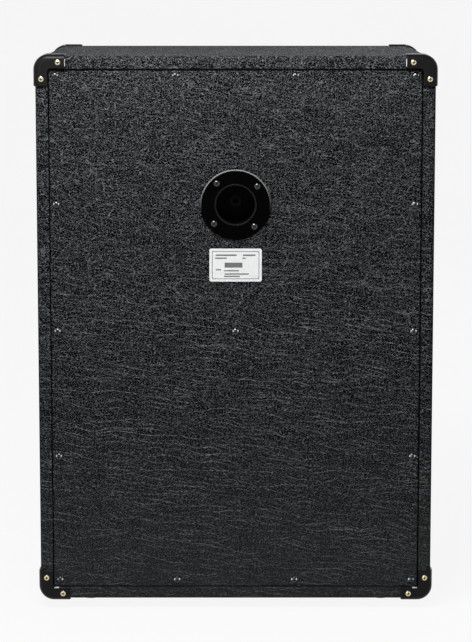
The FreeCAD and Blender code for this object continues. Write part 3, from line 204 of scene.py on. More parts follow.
class CoveringSettings(PropertyGroup):
    """The creased vinyl on the boards."""

    # The dark pits are painted shade, and the pale ridges and creases are painted highlights; the paler flat
    # near the floor is painted light
    pit: colour("Pits", "the bottom of the pits", (0.0004, 0.00045, 0.0005))
    ground: colour("Ground", "the flat of the grain", (0.0016, 0.0018, 0.0021))
    low_ground: colour("Low ground", "the flat near the floor", (0.0185, 0.0195, 0.0203))
    ridge: colour("Ridges", "the raised crackle", (0.182, 0.193, 0.201))
    crease: colour("Creases", "the long rubbed creases", (0.31, 0.322, 0.33))
    cell_width: length("Pit width", "Width of one pit along the floor", 0.0031)
    cell_height: length("Pit height", "Height of one pit", 0.0022)
    crease_width: length("Crease width", "Width of a long crease", 0.0006)
    crack_width: length("Crack cell width", "Width of one cell in the net of cracks", 0.03)
    crack_height: length("Crack cell height", "Height of one cell in the net of cracks", 0.012)
    lean: number("Lean", "Fall of the creases across the rear", -0.09)
    relief: length("Relief", "Depth of the pits", 0.0005)
    roughness: share("Roughness", "Roughness of the vinyl", 0.55)
    shine: share("Shine", "Strength of the vinyl's gloss", 0.016)
    smooth_below: length("Smooth below", "Height under which the pits grow shallow", 0.18)


class PlasticSettings(PropertyGroup):
    """Moulded plastic and rubber pieces."""

    corner: colour("Corners", "the corner protectors", (0.0068, 0.006, 0.0066))
    # Painted highlights on the protectors' arm ends and inner corners
    corner_highlight: colour("Corner edge", "the rubbed edges of the protectors", (0.55, 0.55, 0.56))
    leg: length("Corner leg", "Length of a protector's leg from its outer face", 0.0402)
    arm: length("Corner arm", "Width of a protector's arm from its outer face", 0.0182)
    dish: colour("Dish", "the jack dish", (0.0006, 0.0006, 0.0008))
    # Painted highlight on the dish's upper rim
    dish_highlight: colour("Dish edge", "the dish's rubbed rim", (0.24, 0.24, 0.243))
    handle: colour("Handles", "the side handles", (0.011, 0.011, 0.0115))
    rubber: colour("Rubber", "the feet and the cables", (0.013, 0.013, 0.013))
    clip: colour("Clip", "the cable clip", (0.5, 0.5, 0.47))
    grain: length("Grain", "Size of the moulded grain", 0.0006)


class MetalSettings(PropertyGroup):
    """Plated screws and fittings."""

    brass: colour("Brass", "the corner screws", (0.78, 0.7, 0.44))
    black: colour("Black lacquer", "the dark screws", (0.065, 0.065, 0.068))
    # Painted highlights on the panel screws' upper flanks
    rubbed: colour("Rubbed plate", "the panel screws where they are rubbed", (0.85, 0.85, 0.84))
    nickel: colour("Black nickel", "the jack's bush, nut and washer", (0.004, 0.004, 0.0042))
    zinc: colour("Zinc", "hidden screws and plates", (0.55, 0.55, 0.52))


class JackSettings(PropertyGroup):
    """The jack dish and the cables inside."""

    mouth: length("Mouth", "Diameter of the dish's mouth", 0.0485)
    cable: length("Cable", "Diameter of the cables inside", 0.005)
    upper_cable: length("Upper cable", "Length of the cable to the upper driver", 0.207)
    lower_cable: length("Lower cable", "Length of the cable to the lower driver", 0.44)


class DriverSettings(PropertyGroup):
    """The soft parts of a driver."""

    sheet: length("Sheet", "Thickness of surround and spider", 0.0006)
    gasket: length("Gasket", "Thickness of the gasket under the surround", 0.003)
    rim: length("Rim", "Width of the surround's clamped edge", 0.0035)
    cutout: length("Cut-out", "Diameter of the baffle's opening", 0.283)
    roll: length("Roll", "Width of the surround's roll", 0.01)
    lip: length("Lip", "Width of the surround's lip on the cone", 0.0045)
    spider_level: length("Spider level", "Depth of the spider behind the baffle", 0.0594)
    spider_wave: length("Spider wave", "Depth of the spider's folds", 0.0016)
    spider_outer: length("Spider", "Diameter of the spider", 0.148)
    spider_rim: length("Spider rim", "Diameter inside the spider's glued edge", 0.138)
    spider_inner: length("Spider hole", "Diameter of the spider's hole", 0.0456)
    spider_waves: count("Waves", "Folds of the spider", 5, 1, 12)
    lead: length("Lead", "Diameter of the braided leads", 0.0014)


class ClothSettings(PropertyGroup):
    """The woven grille cloth and its piping."""

    thread: length("Thread", "Width of one thread of the weave", 0.0021)
    warp: colour("Warp", "the upright threads", (0.009, 0.009, 0.0094))
    weft: colour("Weft", "the level threads", (0.03, 0.03, 0.0308))
    fleck: colour("Flecks", "the pale flecks in the threads", (0.1, 0.098, 0.092))
    bow: length("Bow", "How far the cloth stands out at its middle", 0.0007)
    piping: colour("Piping", "the bead round the cloth", (0.56, 0.5, 0.37))
    steps: count("Steps", "Divisions of the cloth across", 48, 8, 200)


class LabelSettings(PropertyGroup):
    """The blank plate under the jack dish."""

    film: colour("Film", "the plate", (0.76, 0.77, 0.77))
    ink: colour("Ink", "the ruling", (0.13, 0.13, 0.14))
    radius: length("Corner", "Radius of the plate's corners", 0.0025)
    border: length("Border inset", "Distance of the ruled border from the edge", 0.0032)
    rule: length("Rule", "Width of the ruled border", 0.0008)


class InsideSettings(PropertyGroup):
    """Wood, paper and metal inside the cabinet."""

    ply: colour("Plywood", "the boards", (0.46, 0.32, 0.18))
    stain: length("Stain", "Distance from the middle past which the boards are stained black", 0.12)
    pine: colour("Pine", "the cross rail and the grille frame", (0.56, 0.4, 0.22))
    paint: colour("Paint", "the painted baffle and battens", (0.012, 0.012, 0.012))
    enamel: colour("Enamel", "the driver baskets", (0.11, 0.115, 0.12))
    ferrite: colour("Ferrite", "the magnets", (0.035, 0.035, 0.04))
    paper: colour("Paper", "cones and surrounds", (0.028, 0.026, 0.024))
    varnish: colour("Varnished cloth", "the spiders", (0.33, 0.2, 0.06))
    phenolic: colour("Phenolic", "terminal boards and the jack's stack", (0.17, 0.08, 0.03))
    copper: colour("Copper", "coils, braids and contacts", (0.6, 0.3, 0.16))
    cork: colour("Cork", "the gaskets", (0.16, 0.11, 0.065))


class StageSettings(PropertyGroup):
    """Camera, floor and lamps."""

    distance: length("Distance", "Camera distance from the rear panel", 2.6)
    height: length("Height", "Camera height above the floor", 0.8299)
    pitch: number("Pitch", "Camera tilt below level", math.radians(7.132), subtype="ANGLE")
    lens: number("Lens", "Focal length in millimetres", 117.08, subtype="DISTANCE_CAMERA")
    rise: number("Shift", "Upright shift of the lens", -0.16)
    floor: colour("Floor", "the floor and backdrop", (0.93, 0.93, 0.93))
    key: number("Key", "Power of the lamp above the rear", 19.0, subtype="POWER")
    fill: number("Fill", "Power of each soft side lamp", 10.0, subtype="POWER")
    sky: number("Sky", "Strength of the light from all round", 0.24, min=0.0)


class CabinetSettings(PropertyGroup):
    """All settings of the cabinet."""

    covering: PointerProperty(type=CoveringSettings)
    plastic: PointerProperty(type=PlasticSettings)
    metal: PointerProperty(type=MetalSettings)
    jack: PointerProperty(type=JackSettings)
    driver: PointerProperty(type=DriverSettings)
    cloth: PointerProperty(type=ClothSettings)
    label: PointerProperty(type=LabelSettings)
    inside: PointerProperty(type=InsideSettings)
    stage: PointerProperty(type=StageSettings)


# Materials

class Finish:
    """A material being made: its node tree, its shader and its object coordinates, with ways to add nodes."""

    def __init__(self, name, **sockets):
        self.material = bpy.data.materials.new(name)
        self.material.use_nodes = True
        self.tree = self.material.node_tree
        self.shader = self.tree.nodes["Principled BSDF"]
        self.where = self.place()
        for socket, value in sockets.items():
            self.put(self.shader, socket.replace("_", " "), value)

    def put(self, node, socket, value):
        """Set a socket to a value, or join it to another node's output."""
        target = node.inputs[socket]
        if isinstance(value, NodeSocket):
            self.tree.links.new(value, target)
        elif target.type == "RGBA":
            target.default_value = (*value, 1.0)
        else:
            target.default_value = value

    def node(self, kind, inputs=None, **settings):
        """A shader node of a kind with its settings and inputs."""
        made = self.tree.nodes.new(f"ShaderNode{kind}")
        for key, value in settings.items():
            setattr(made, key, value)
        for socket, value in (inputs or {}).items():
            self.put(made, socket, value)
        return made

    def vector(self, operation, first, second):
        """One sum on vectors."""
        return self.node("VectorMath", {0: first, 1: second}, operation=operation).outputs[0]

    def math(self, operation, first, second=0.0, third=0.0):
        """One sum on numbers."""
        return self.node("Math", {0: first, 1: second, 2: third}, operation=operation).outputs[0]

    def times(self, first, second):
        """The product of two numbers."""
        return self.math("MULTIPLY", first, second)

    def place(self, scale=(1.0, 1.0, 1.0), shift=(0.0, 0.0, 0.0)):
        """Object coordinates, shifted and then scaled."""
        where = self.node("TexCoord").outputs["Object"]
        return self.vector("MULTIPLY", self.vector("ADD", where, shift), scale)

    def axes(self, where):
        """The three parts of a place or direction."""
        return self.node("SeparateXYZ", {0: where}).outputs

    def noise(self, where, scale, detail=2.0, roughness=0.55):
        """Noise between 0 and 1."""
        inputs = {"Vector": where, "Scale": scale, "Detail": detail, "Roughness": roughness}
        return self.node("TexNoise", inputs).outputs["Fac"]

    def cells(self, where, **settings):
        """Distance to the edge of irregular cells, about one to a unit."""
        inputs = {"Vector": where, "Scale": 1.0}
        made = self.node("TexVoronoi", inputs, feature="DISTANCE_TO_EDGE", **settings)
        return made.outputs["Distance"]

    def sway(self, where, scale, amount, seed=0.0):
        """Places moved to and fro by a noise of a scale per metre and an amount in metres."""
        source = self.vector("ADD", where, (seed, seed, seed))
        noise = self.node("TexNoise", {"Vector": source, "Scale": scale, "Detail": 2.0})
        level = self.vector("SUBTRACT", noise.outputs["Color"], (0.5, 0.5, 0.5))
        moved = self.node("VectorMath", {0: level, "Scale": amount}, operation="SCALE").outputs[0]
        return self.vector("ADD", where, moved)

    def span(self, value, low, high, new_low=0.0, new_high=1.0, smooth=False):
        """A value carried from one span to another, held at its ends."""
        inputs = {"Value": value, "From Min": low, "From Max": high, "To Min": new_low, "To Max": new_high}
        kind = "SMOOTHSTEP" if smooth else "LINEAR"
        return self.node("MapRange", inputs, interpolation_type=kind).outputs[0]

    def ring(self, centre, inner, outer):
        """One between two radii about a level axis from front to rear, and nothing elsewhere."""
        axes = self.axes(self.place(shift=(-centre.x, -centre.y, -centre.z)))
        across = self.math("POWER", axes["X"], 2.0)
        radius = self.math("SQRT", self.math("ADD", across, self.math("POWER", axes["Z"], 2.0)))
        edge = (outer - inner) / 4
        rise = self.span(radius, inner - edge, inner + edge)
        return self.times(rise, self.span(radius, outer - edge, outer + edge, 1.0, 0.0))

    def inside(self, low, high):
        """One between two corners of a box, the same on the left and on the right, and nothing elsewhere."""
        axes = self.axes(self.where)
        values = (self.math("ABSOLUTE", axes["X"]), axes["Y"], axes["Z"])
        found = [self.math("COMPARE", v, (a + b) / 2, (b - a) / 2) for v, a, b in zip(values, low, high)]
        return self.times(self.times(found[0], found[1]), found[2])

    def mix(self, amount, first, second):
        """A colour between two colours."""
        return self.node("Mix", {0: amount, 6: first, 7: second}, data_type="RGBA").outputs[2]

    def shades(self, amount, base, dark, light):
        """A colour between a dark and a light shade of a base."""
        return self.mix(amount, lighter(base, dark), lighter(base, light))

    def rough(self, noise, roughness, less, more):
        """Roughness that follows a noise, from a little less than a value to a little more."""
        self.put(self.shader, "Roughness", self.span(noise, 0.3, 0.7, roughness - less, roughness + more))

    def done(self, tone, height, depth, strength=1.0):
        """The material in a colour, its surface raised by a height from 0 to 1 times a depth in metres."""
        self.put(self.shader, "Base Color", tone)
        inputs = {"Height": height, "Distance": depth, "Strength": strength}
        self.put(self.shader, "Normal", self.node("Bump", inputs).outputs[0])
        return self.material


def lighter(value, factor):
    """A colour times a factor."""
    return tuple(min(1.0, part * factor) for part in value)


def dress(material, *names):
    """Give a material to CAD nodes that stay."""
    for name in names:
        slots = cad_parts[name].data.materials
        slots.clear()
        slots.append(material)


def creased_vinyl(settings):
    """Black covering: a fine crackle of raised lines over dark pits, and long creases that merge and end.

    High up the crackle is speckled under an open net of cracks, and lower down it is drawn into streaks.
    """
    made = Finish("creased_vinyl", Specular_IOR_Level=settings.shine)
    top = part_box("cabinet_vinyl")[1].z

    def to_edge(spots, width, height):
        """Distance to the edge of cells of a width and height, as a share of a cell."""
        return made.cells(made.vector("MULTIPLY", spots, (1.0 / width, 1.0 / width, 1.0 / height)))

    def lasting(across, up, seed, whole):
        """Where lines last: noise of a scale per metre across and up, nothing where it is low."""
        spots = made.place((across, across, up), (seed, seed, seed))
        return made.span(made.noise(spots, 1.0), 0.4, whole)

    axes = made.axes(made.where)
    upright = axes["Z"]
    rise = made.span(upright, 0.2 * settings.smooth_below, 2.0 * settings.smooth_below)
    tall = made.span(upright, *SPECKLE_ZONE)
    # How much of the way back counts as height for the creases: little on upright faces, all of it on the top
    flat = made.span(upright, top - TOP_TURN[0], top - TOP_TURN[1], 0.15, 1.0)
    lean = made.math("MULTIPLY_ADD", made.math("ADD", axes["X"], axes["Y"]), settings.lean, upright)
    leaning = made.node("CombineXYZ", {"X": axes["X"], "Y": axes["Y"], "Z": lean}).outputs[0]
    drawn = made.sway(leaning, scale=26.0, amount=0.012)
    bent = made.sway(drawn, scale=320.0, amount=0.0018)
    inward = to_edge(bent, settings.cell_width, settings.cell_height)
    crackle = made.span(inward, 0.0, 0.13, 1.0, 0.0, smooth=True)
    # The pits grow shallow near the floor and high up: painted light that follows the height
    shallow = made.times(made.span(rise, 0.0, 1.0, 0.25, 1.0), made.span(upright, *SPECKLE_ZONE, 1.0, 0.6))
    depth = made.times(made.span(inward, 0.07, 0.2, smooth=True), shallow)

    def creases(width, height, slope, seed):
        """Edges of long flat cells, seen where the distance to the edge grows above and below, in places."""
        parts = made.axes(made.sway(drawn, scale=8.0, amount=0.036, seed=seed))
        along = made.math("ADD", parts["X"], parts["Y"])
        level = made.math("MULTIPLY_ADD", parts["Y"], flat, parts["Z"])
        up = made.math("MULTIPLY_ADD", along, slope, level)
        across = made.math("DIVIDE", along, width)
        step = settings.crease_width / height

        def edge(shift):
            """Distance to the edge at a shift upwards, as a share of a cell."""
            spot = {"X": across, "Y": made.math("MULTIPLY_ADD", up, 1.0 / height, shift)}
            return made.cells(made.node("CombineXYZ", spot).outputs[0], voronoi_dimensions="2D")

        beside = made.times(made.math("ADD", edge(step), edge(-step)), 0.5)
        line = made.span(made.math("SUBTRACT", beside, edge(0.0)), 0.15 * step, 0.8 * step)
        return made.times(line, lasting(across=13.0, up=44.0, seed=seed, whole=0.6))

    longer = creases(width=0.07, height=0.0105, slope=0.03, seed=0.0)
    shorter = creases(width=0.04, height=0.0075, slope=-0.08, seed=5.3)
    level_lines = made.math("MAXIMUM", longer, shorter)
    marked = made.times(made.span(rise, 0.0, 1.0, 0.4, 1.0), made.span(upright, *CREASE_ZONE, 1.0, 0.4))
    shaken = made.sway(drawn, scale=60.0, amount=0.003)
    apart = to_edge(shaken, settings.crack_width, settings.crack_height)
    kept = lasting(across=34.0, up=44.0, seed=2.0, whole=0.56)
    higher = made.times(made.span(upright, *CRACK_ZONE, 0.0, 0.4), kept)
    cracks = made.times(made.span(apart, 0.0, 0.035, 1.0, 0.0), higher)
    dashed = made.span(made.noise(bent, 420.0, detail=1.0), 0.4, 0.6, 0.15, 1.0)
    long_lines = made.times(made.math("MAXIMUM", made.times(level_lines, marked), cracks), dashed)
    speckle = made.span(made.noise(made.place((1.0, 1.0, 1.5)), 330.0), 0.39, 0.6, 0.1, 1.0)
    stretched = made.vector("MULTIPLY", drawn, (0.3, 0.3, 1.6))
    streak = made.span(made.noise(stretched, 360.0), 0.4, 0.6, 0.6, 1.0)
    broken = made.times(speckle, made.math("MAXIMUM", tall, streak))
    # Ridges dimmer near the floor and below the speckle zone, and the flat paler near the floor: painted
    # light and shade that follow the height
    toned = made.times(made.span(rise, 0.0, 1.0, 0.47, 1.0), made.span(tall, 0.0, 1.0, 0.86, 1.0))
    shade = made.times(made.times(crackle, broken), toned)
    ground = made.mix(rise, settings.low_ground, settings.ground)
    # Pale ridges over dark pits: painted highlights and painted shade
    rubbed = made.mix(shade, made.mix(depth, ground, settings.pit), settings.ridge)
    duller, glossier = settings.roughness + 0.15, settings.roughness - 0.05
    made.put(made.shader, "Roughness", made.span(crackle, 0.0, 1.0, duller, glossier))
    lifted = made.math("MULTIPLY_ADD", crackle, 0.5, made.times(made.noise(bent, 700.0), 0.2))
    raised = made.math("SUBTRACT", lifted, depth)
    # The long creases and cracks in their pale colour are painted highlights
    return made.done(made.mix(long_lines, rubbed, settings.crease), raised, settings.relief)


def moulded(name, base, roughness, grain, depth=0.00004, rubbed=(), painted_highlight=None, **sockets):
    """Moulded plastic or rubber: a fine grain, small changes of shade and gloss, painted highlights in boxes.
    """
    made = Finish(name, **sockets)
    cloud = made.noise(made.where, 45.0, detail=3.0)
    tone = made.shades(cloud, base, dark=0.8, light=1.25)
    # Painted highlights in each box
    for low, high in rubbed:
        tone = made.mix(made.inside(low, high), tone, painted_highlight)
    made.rough(cloud, roughness, less=0.06, more=0.08)
    return made.done(tone, made.noise(made.where, 1.0 / grain), depth, strength=0.6)


def gloss_with_highlights(settings, centre, rim, mouth):
    """The dish's glossy plastic, with a painted highlight along its upper rim and a faint one along the lip
    of its mouth.
    """
    made = Finish("dish_plastic", Specular_IOR_Level=0.015)
    cloud = made.noise(made.where, 60.0, detail=3.0)
    base = made.shades(cloud, settings.dish, dark=0.8, light=1.25)
    # Painted highlight along the upper part of the rim, and a faint one round the mouth
    upper = made.span(made.axes(made.where)["Z"], centre.z - 0.2 * rim, centre.z + 0.5 * rim)
    outer = made.times(made.ring(centre, rim - RIM_GLINT[0], rim + RIM_GLINT[1]), upper)
    lip = made.times(made.ring(centre, mouth, mouth + MOUTH_GLINT), 0.045)
    tone = made.mix(made.math("MAXIMUM", outer, lip), base, settings.dish_highlight)
    made.rough(cloud, 0.2, less=0.04, more=0.06)
    return made.done(tone, made.noise(made.where, 1.0 / settings.grain), 0.00001, strength=0.5)


def plated(name, base, roughness, crown=0.0, rubbed=None):
    """Plated metal: slight stains and fine turning marks, painted shade below its crown, painted highlights
    on its flanks.
    """
    made = Finish(name, Metallic=1.0)
    stain = made.noise(made.where, 260.0, detail=3.0)
    tone = made.shades(stain, base, dark=0.82, light=1.1)
    # Painted shade in the low places below the crown, such as the cross recess
    if crown:
        out = made.math("ABSOLUTE", made.axes(made.where)["Y"])
        tone = made.mix(made.span(out, crown - RECESS_SHADE[0], crown - RECESS_SHADE[1]), lighter(base, 0.1), tone)
    # Painted highlights on the upper flanks, where the surface faces sideways and a little up
    if rubbed:
        slope = made.axes(made.node("TexCoord").outputs["Normal"])
        flank = made.span(made.math("ABSOLUTE", slope["X"]), 0.4, 0.55)
        upper = made.times(made.span(slope["Z"], 0.06, 0.15), made.span(slope["Z"], 0.42, 0.55, 1.0, 0.0))
        tone = made.mix(made.times(flank, upper), tone, rubbed)
    made.rough(stain, roughness, less=0.05, more=0.09)
    return made.done(tone, made.noise(made.where, 1400.0), 0.00002, strength=0.5)


def grained_wood(name, base, ring, stained=1.0):
    """Wood: rings drawn out upwards, with fine pores, stained black further than a depth from the middle."""
    made = Finish(name, Roughness=0.7)
    where = made.place((1.0, 1.0, 0.12))
    inputs = {"Vector": where, "Scale": 1.0 / ring, "Distortion": 5.0, "Detail": 3.0, "Detail Scale": 1.5}
    wave = made.node("TexWave", inputs).outputs["Fac"]
    pores = made.noise(where, 900.0)
    tone = made.shades(wave, base, dark=0.72, light=1.12)
    bare = made.mix(made.span(pores, 0.62, 0.75), tone, lighter(base, 0.5))
    depth = made.math("ABSOLUTE", made.axes(made.where)["Y"])
    tone = made.mix(made.span(depth, stained - STAIN_EDGE, stained + STAIN_EDGE), bare, STAIN)
    return made.done(tone, made.math("MULTIPLY_ADD", wave, 0.4, pores), 0.0001, strength=0.5)


def fibrous(name, base, scale, depth, roughness=0.85):
    """Pressed paper, cork or felted board: mottled shade and a short fibre relief."""
    made = Finish(name, Roughness=roughness)
    mottle = made.noise(made.where, scale, detail=5.0, roughness=0.7)
    return made.done(made.shades(mottle, base, dark=0.6, light=1.4), mottle, depth, strength=0.8)


def woven(settings):
    """Grille cloth: upright and level threads that pass over each other in turn, each rounded and flecked."""
    made = Finish("woven_cloth", Roughness=0.82, Sheen_Weight=0.15, Sheen_Roughness=0.5)
    pitch = 1.0 / settings.thread
    axes = made.axes(made.place((pitch, pitch, pitch)))
    along, up = axes["X"], axes["Z"]
    turns = made.math("ADD", made.math("FLOOR", along), made.math("FLOOR", up))
    over = made.math("GREATER_THAN", made.math("MODULO", made.math("ABSOLUTE", turns), 2.0), 0.5)

    def crown(value):
        """The round of a thread: half a sine wave across it."""
        return made.math("SINE", made.times(made.math("FRACT", value), math.pi))

    def thread(cross, run):
        """The height of a thread: its round across, lifted where it passes over the next one."""
        lift = made.math("MULTIPLY_ADD", crown(run), 0.45, 0.55)
        return made.times(made.math("POWER", crown(cross), 0.6), lift)

    def uneven(run, base):
        """The colour of a thread: each one has a shade of its own."""
        which = {"W": made.math("FLOOR", run)}
        shade = made.node("TexWhiteNoise", which, noise_dimensions="1D").outputs["Value"]
        return made.shades(shade, base, dark=0.55, light=1.5)

    heights = {0: over, 2: thread(up, along), 3: thread(along, up)}
    height = made.node("Mix", heights, data_type="FLOAT").outputs[0]
    tone = made.mix(over, uneven(up, settings.weft), uneven(along, settings.warp))
    strands = made.noise(made.where, 2600.0)
    flecks = made.times(made.span(strands, 0.6, 0.74), height)
    # Threads darken where they sink towards their edges: painted shade between the threads
    shade = made.mix(made.span(height, 0.1, 0.75), lighter(settings.warp, 0.15), tone)
    tone = made.mix(made.times(flecks, 0.55), shade, settings.fleck)
    return made.done(tone, made.math("MULTIPLY_ADD", strands, 0.12, height), 0.0004)


def printed_film(name, base, roughness):
    """Printed film: a faint mottle under a satin face."""
    made = Finish(name, Coat_Weight=0.15, Coat_Roughness=0.3)
    mottle = made.noise(made.where, 700.0)
    made.rough(mottle, roughness, less=0.05, more=0.05)
    return made.done(made.shades(mottle, base, dark=0.97, light=1.02), mottle, 0.00001, strength=0.4)


# Surfaces

def new_mesh(name, points, faces):
    """A mesh from its points and faces."""
    mesh = bpy.data.meshes.new(name)
    mesh.from_pydata(points, [], faces)
    mesh.update()
    return mesh


def grid_mesh(name, points, around=False, ring=False, caps=False):
    """A mesh from a grid of points, rows by columns, each square of four neighbours a face.

    Around joins the last column to the first, ring joins the last row to the first, and caps close the first
    and the last row with one face each. A closed form whose volume comes out below zero has its faces turned.
    """
    rows, columns = points.shape[:2]
    index = np.arange(rows * columns).reshape(rows, columns)
    right, below = np.roll(index, -1, axis=1), np.roll(index, -1, axis=0)
    quads = np.stack([index, right, np.roll(right, -1, axis=0), below], axis=-1)
    quads = quads[: rows if ring else rows - 1, : columns if around else columns - 1].reshape(-1, 4)
    flat = points.reshape(-1, 3)
    first, second, third, fourth = (flat[quads[:, corner]] - flat.mean(axis=0) for corner in range(4))
    volume = (first * (np.cross(second, third) + np.cross(third, fourth))).sum()
    faces = quads.tolist()
    if caps:
        faces += [index[0, ::-1].tolist(), index[-1].tolist()]
    if (caps or ring) and volume < 0.0:
        faces = [face[::-1] for face in faces]
    return new_mesh(name, flat, faces)


def block_mesh(name, centres, halves):
    """Thin blocks: each corner is a centre plus a half size with a sign for each axis."""
    signs = np.array([(x, y, z) for x in (-1, 1) for y in (-1, 1) for z in (-1, 1)], float)
    corners = centres[:, None, :] + signs[None] * halves[:, None, :]
    sides = np.array([(0, 1, 3, 2), (4, 6, 7, 5), (0, 4, 5, 1), (2, 3, 7, 6), (0, 2, 6, 4), (1, 5, 7, 3)])
    faces = (sides[None] + 8 * np.arange(len(centres))[:, None, None]).reshape(-1, 4)
    return new_mesh(name, corners.reshape(-1, 3), faces.tolist())


def turned_form(profile, height, seat, steps):
    """A profile of radius and level carried round a driver's axis at a height.

    Across and up turn with the radius, and the depth is the seat plus the level.
    """
    turn = np.linspace(0.0, 2.0 * math.pi, steps, endpoint=False)
    radius, level = profile[:, :1], profile[:, 1:]
    x = radius * np.cos(turn)
    z = height + radius * np.sin(turn)
    return np.stack([x, np.broadcast_to(seat + level, x.shape), z], axis=-1)


def level_tube(controls, radius, steps, sides):
    """A round tube along a cubic curve between four points on one level, a circle across each point."""
    t = np.linspace(0.0, 1.0, steps)[:, None]
    weights = np.concatenate([(1 - t) ** 3, 3 * t * (1 - t) ** 2, 3 * t**2 * (1 - t), t**3], axis=1)
    line = weights @ controls
    along = np.gradient(line, axis=0)
    along /= np.linalg.norm(along, axis=1, keepdims=True)
    up = np.array([0.0, 0.0, 1.0])
    side = np.cross(up, along)
    turn = np.linspace(0.0, 2.0 * math.pi, sides, endpoint=False)[None, :, None]
    return line[:, None] + radius * (np.cos(turn) * side[:, None] + np.sin(turn) * up)


def rounded_loop(half_x, half_z, radius, steps):
    """Points round a rectangle with round corners: each corner is a quarter circle about its own centre."""
    turn = np.linspace(0.0, math.pi / 2, steps)
    angle = np.concatenate([turn + quarter * math.pi / 2 for quarter in range(4)])
    side_x = np.repeat([1.0, -1.0, -1.0, 1.0], steps)
    side_z = np.repeat([1.0, 1.0, -1.0, -1.0], steps)
    x = side_x * (half_x - radius) + radius * np.cos(angle)
    z = side_z * (half_z - radius) + radius * np.sin(angle)
    return np.stack([x, z], axis=-1)


def stacked_loops(loops, levels):
    """Rounded loops, one above the other, as a grid facing the rear: loop x and z with each loop's own y."""
    flat = np.stack(loops)
    depth = np.broadcast_to(np.asarray(levels, float)[:, None], flat.shape[:2])
    return np.stack([flat[..., 0], depth, flat[..., 1]], axis=-1)


# Pieces

def add_object(name, data):
    """An object in the scene."""
    made = bpy.data.objects.new(name, data)
    bpy.context.scene.collection.objects.link(made)
    return made


def add_mesh(mesh, material, smooth=True):
    """An object in the scene from a mesh, with its material and its shading."""
    mesh.materials.append(material)
    mesh.polygons.foreach_set("use_smooth", np.full(len(mesh.polygons), smooth))
    return add_object(mesh.name, mesh)


def add_fixed_piece(mesh, material, slot, *replaced, smooth=True):
    """A finished mesh that is fixed to the cabinet, in place of the CAD nodes that it stands for."""
    piece = add_mesh(mesh, material, smooth)
    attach(piece, "cabinet")
    if replaced:
        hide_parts(*replaced)
    return piece


# Operators

class CABINET_OT_cover(Operator):
    """Cover the boards and the back panel with creased vinyl."""

    bl_idname = "cabinet.cover"
    bl_label = "Cover the Boards"

    def execute(self, context):
        dress(creased_vinyl(context.scene.cabinet.covering), "cabinet_vinyl", "back_panel_vinyl")
        return {"FINISHED"}


class CABINET_OT_corners(Operator):
    """Finish the corner protectors and their brass screws."""

    bl_idname = "cabinet.corners"
    bl_label = "Fit the Corners"

    def execute(self, context):
        settings = context.scene.cabinet
        plastic = settings.plastic
        low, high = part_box("rear_corners")
        end, inner, shelf = high.x - plastic.leg, high.x - plastic.arm, low.z + plastic.arm
        behind = high.y - GLINT_DEPTH
        # Painted highlights: a strip at each upper arm's end, and one along each lower arm's top edge by the
        # inner corner
        rubbed = (
            ((end, behind, high.z - GLINT_BELOW[0]), (end + GLINT_WIDTH, high.y, high.z - GLINT_BELOW[1])),
            ((inner - GLINT_PAST[0], behind, shelf - GLINT_WIDTH), (inner - GLINT_PAST[1], high.y, shelf)),
        )
        finish = moulded(
            "corner_plastic", plastic.corner, roughness=0.3, grain=plastic.grain, depth=0.00002,
            rubbed=rubbed, painted_highlight=plastic.corner_highlight, Specular_IOR_Level=0.1,
        )
        dress(finish, "front_corners", "rear_corners")
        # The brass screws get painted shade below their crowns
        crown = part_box("corner_screws")[1].y
        dress(plated("pale_brass", settings.metal.brass, roughness=0.27, crown=crown), "corner_screws")
        return {"FINISHED"}


class CABINET_OT_screws(Operator):
    """Finish the dark screws on the outside and the zinc ones out of sight."""

    bl_idname = "cabinet.screws"
    bl_label = "Drive the Screws"

    def execute(self, context):
        metal = context.scene.cabinet.metal
        # The panel screws get painted highlights on their upper flanks
        for name, rubbed in (("back_panel_screws", metal.rubbed), ("jack_dish_screws", None)):
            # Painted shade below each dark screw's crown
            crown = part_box(name)[1].y - DOME
            dress(plated(f"black_{name}", metal.black, roughness=0.12, crown=crown, rubbed=rubbed), name)
        dress(plated("black_plate", metal.black, roughness=0.12), "handle_screws")
        zinc = plated("zinc_plate", metal.zinc, roughness=0.34)
        dress(zinc, "foot_screws", "baffle_screws", "driver_bolts", "driver_nuts")
        return {"FINISHED"}


class CABINET_OT_jack(Operator):
    """Finish the jack dish and the jack in its floor."""

    bl_idname = "cabinet.jack"
    bl_label = "Set the Jack"

    def execute(self, context):
        settings = context.scene.cabinet
        low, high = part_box("jack_dish")
        dish = gloss_with_highlights(settings.plastic, (low + high) / 2, (high.x - low.x) / 2, settings.jack.mouth / 2)
        dress(dish, "jack_dish")
        nickel = plated("black_nickel", settings.metal.nickel, roughness=0.3)
        dress(nickel, "jack_bush", "jack_nut", "jack_washer")
        dress(plated("jack_steel", settings.metal.zinc, roughness=0.4), "jack_frame")
        dress(plated("contact_brass", settings.inside.copper, roughness=0.3), "jack_tip_spring", "jack_tags")
        board = fibrous("phenolic_board", settings.inside.phenolic, scale=400.0, depth=0.00003, roughness=0.5)
        dress(board, "jack_stack", "driver_terminals")
        return {"FINISHED"}


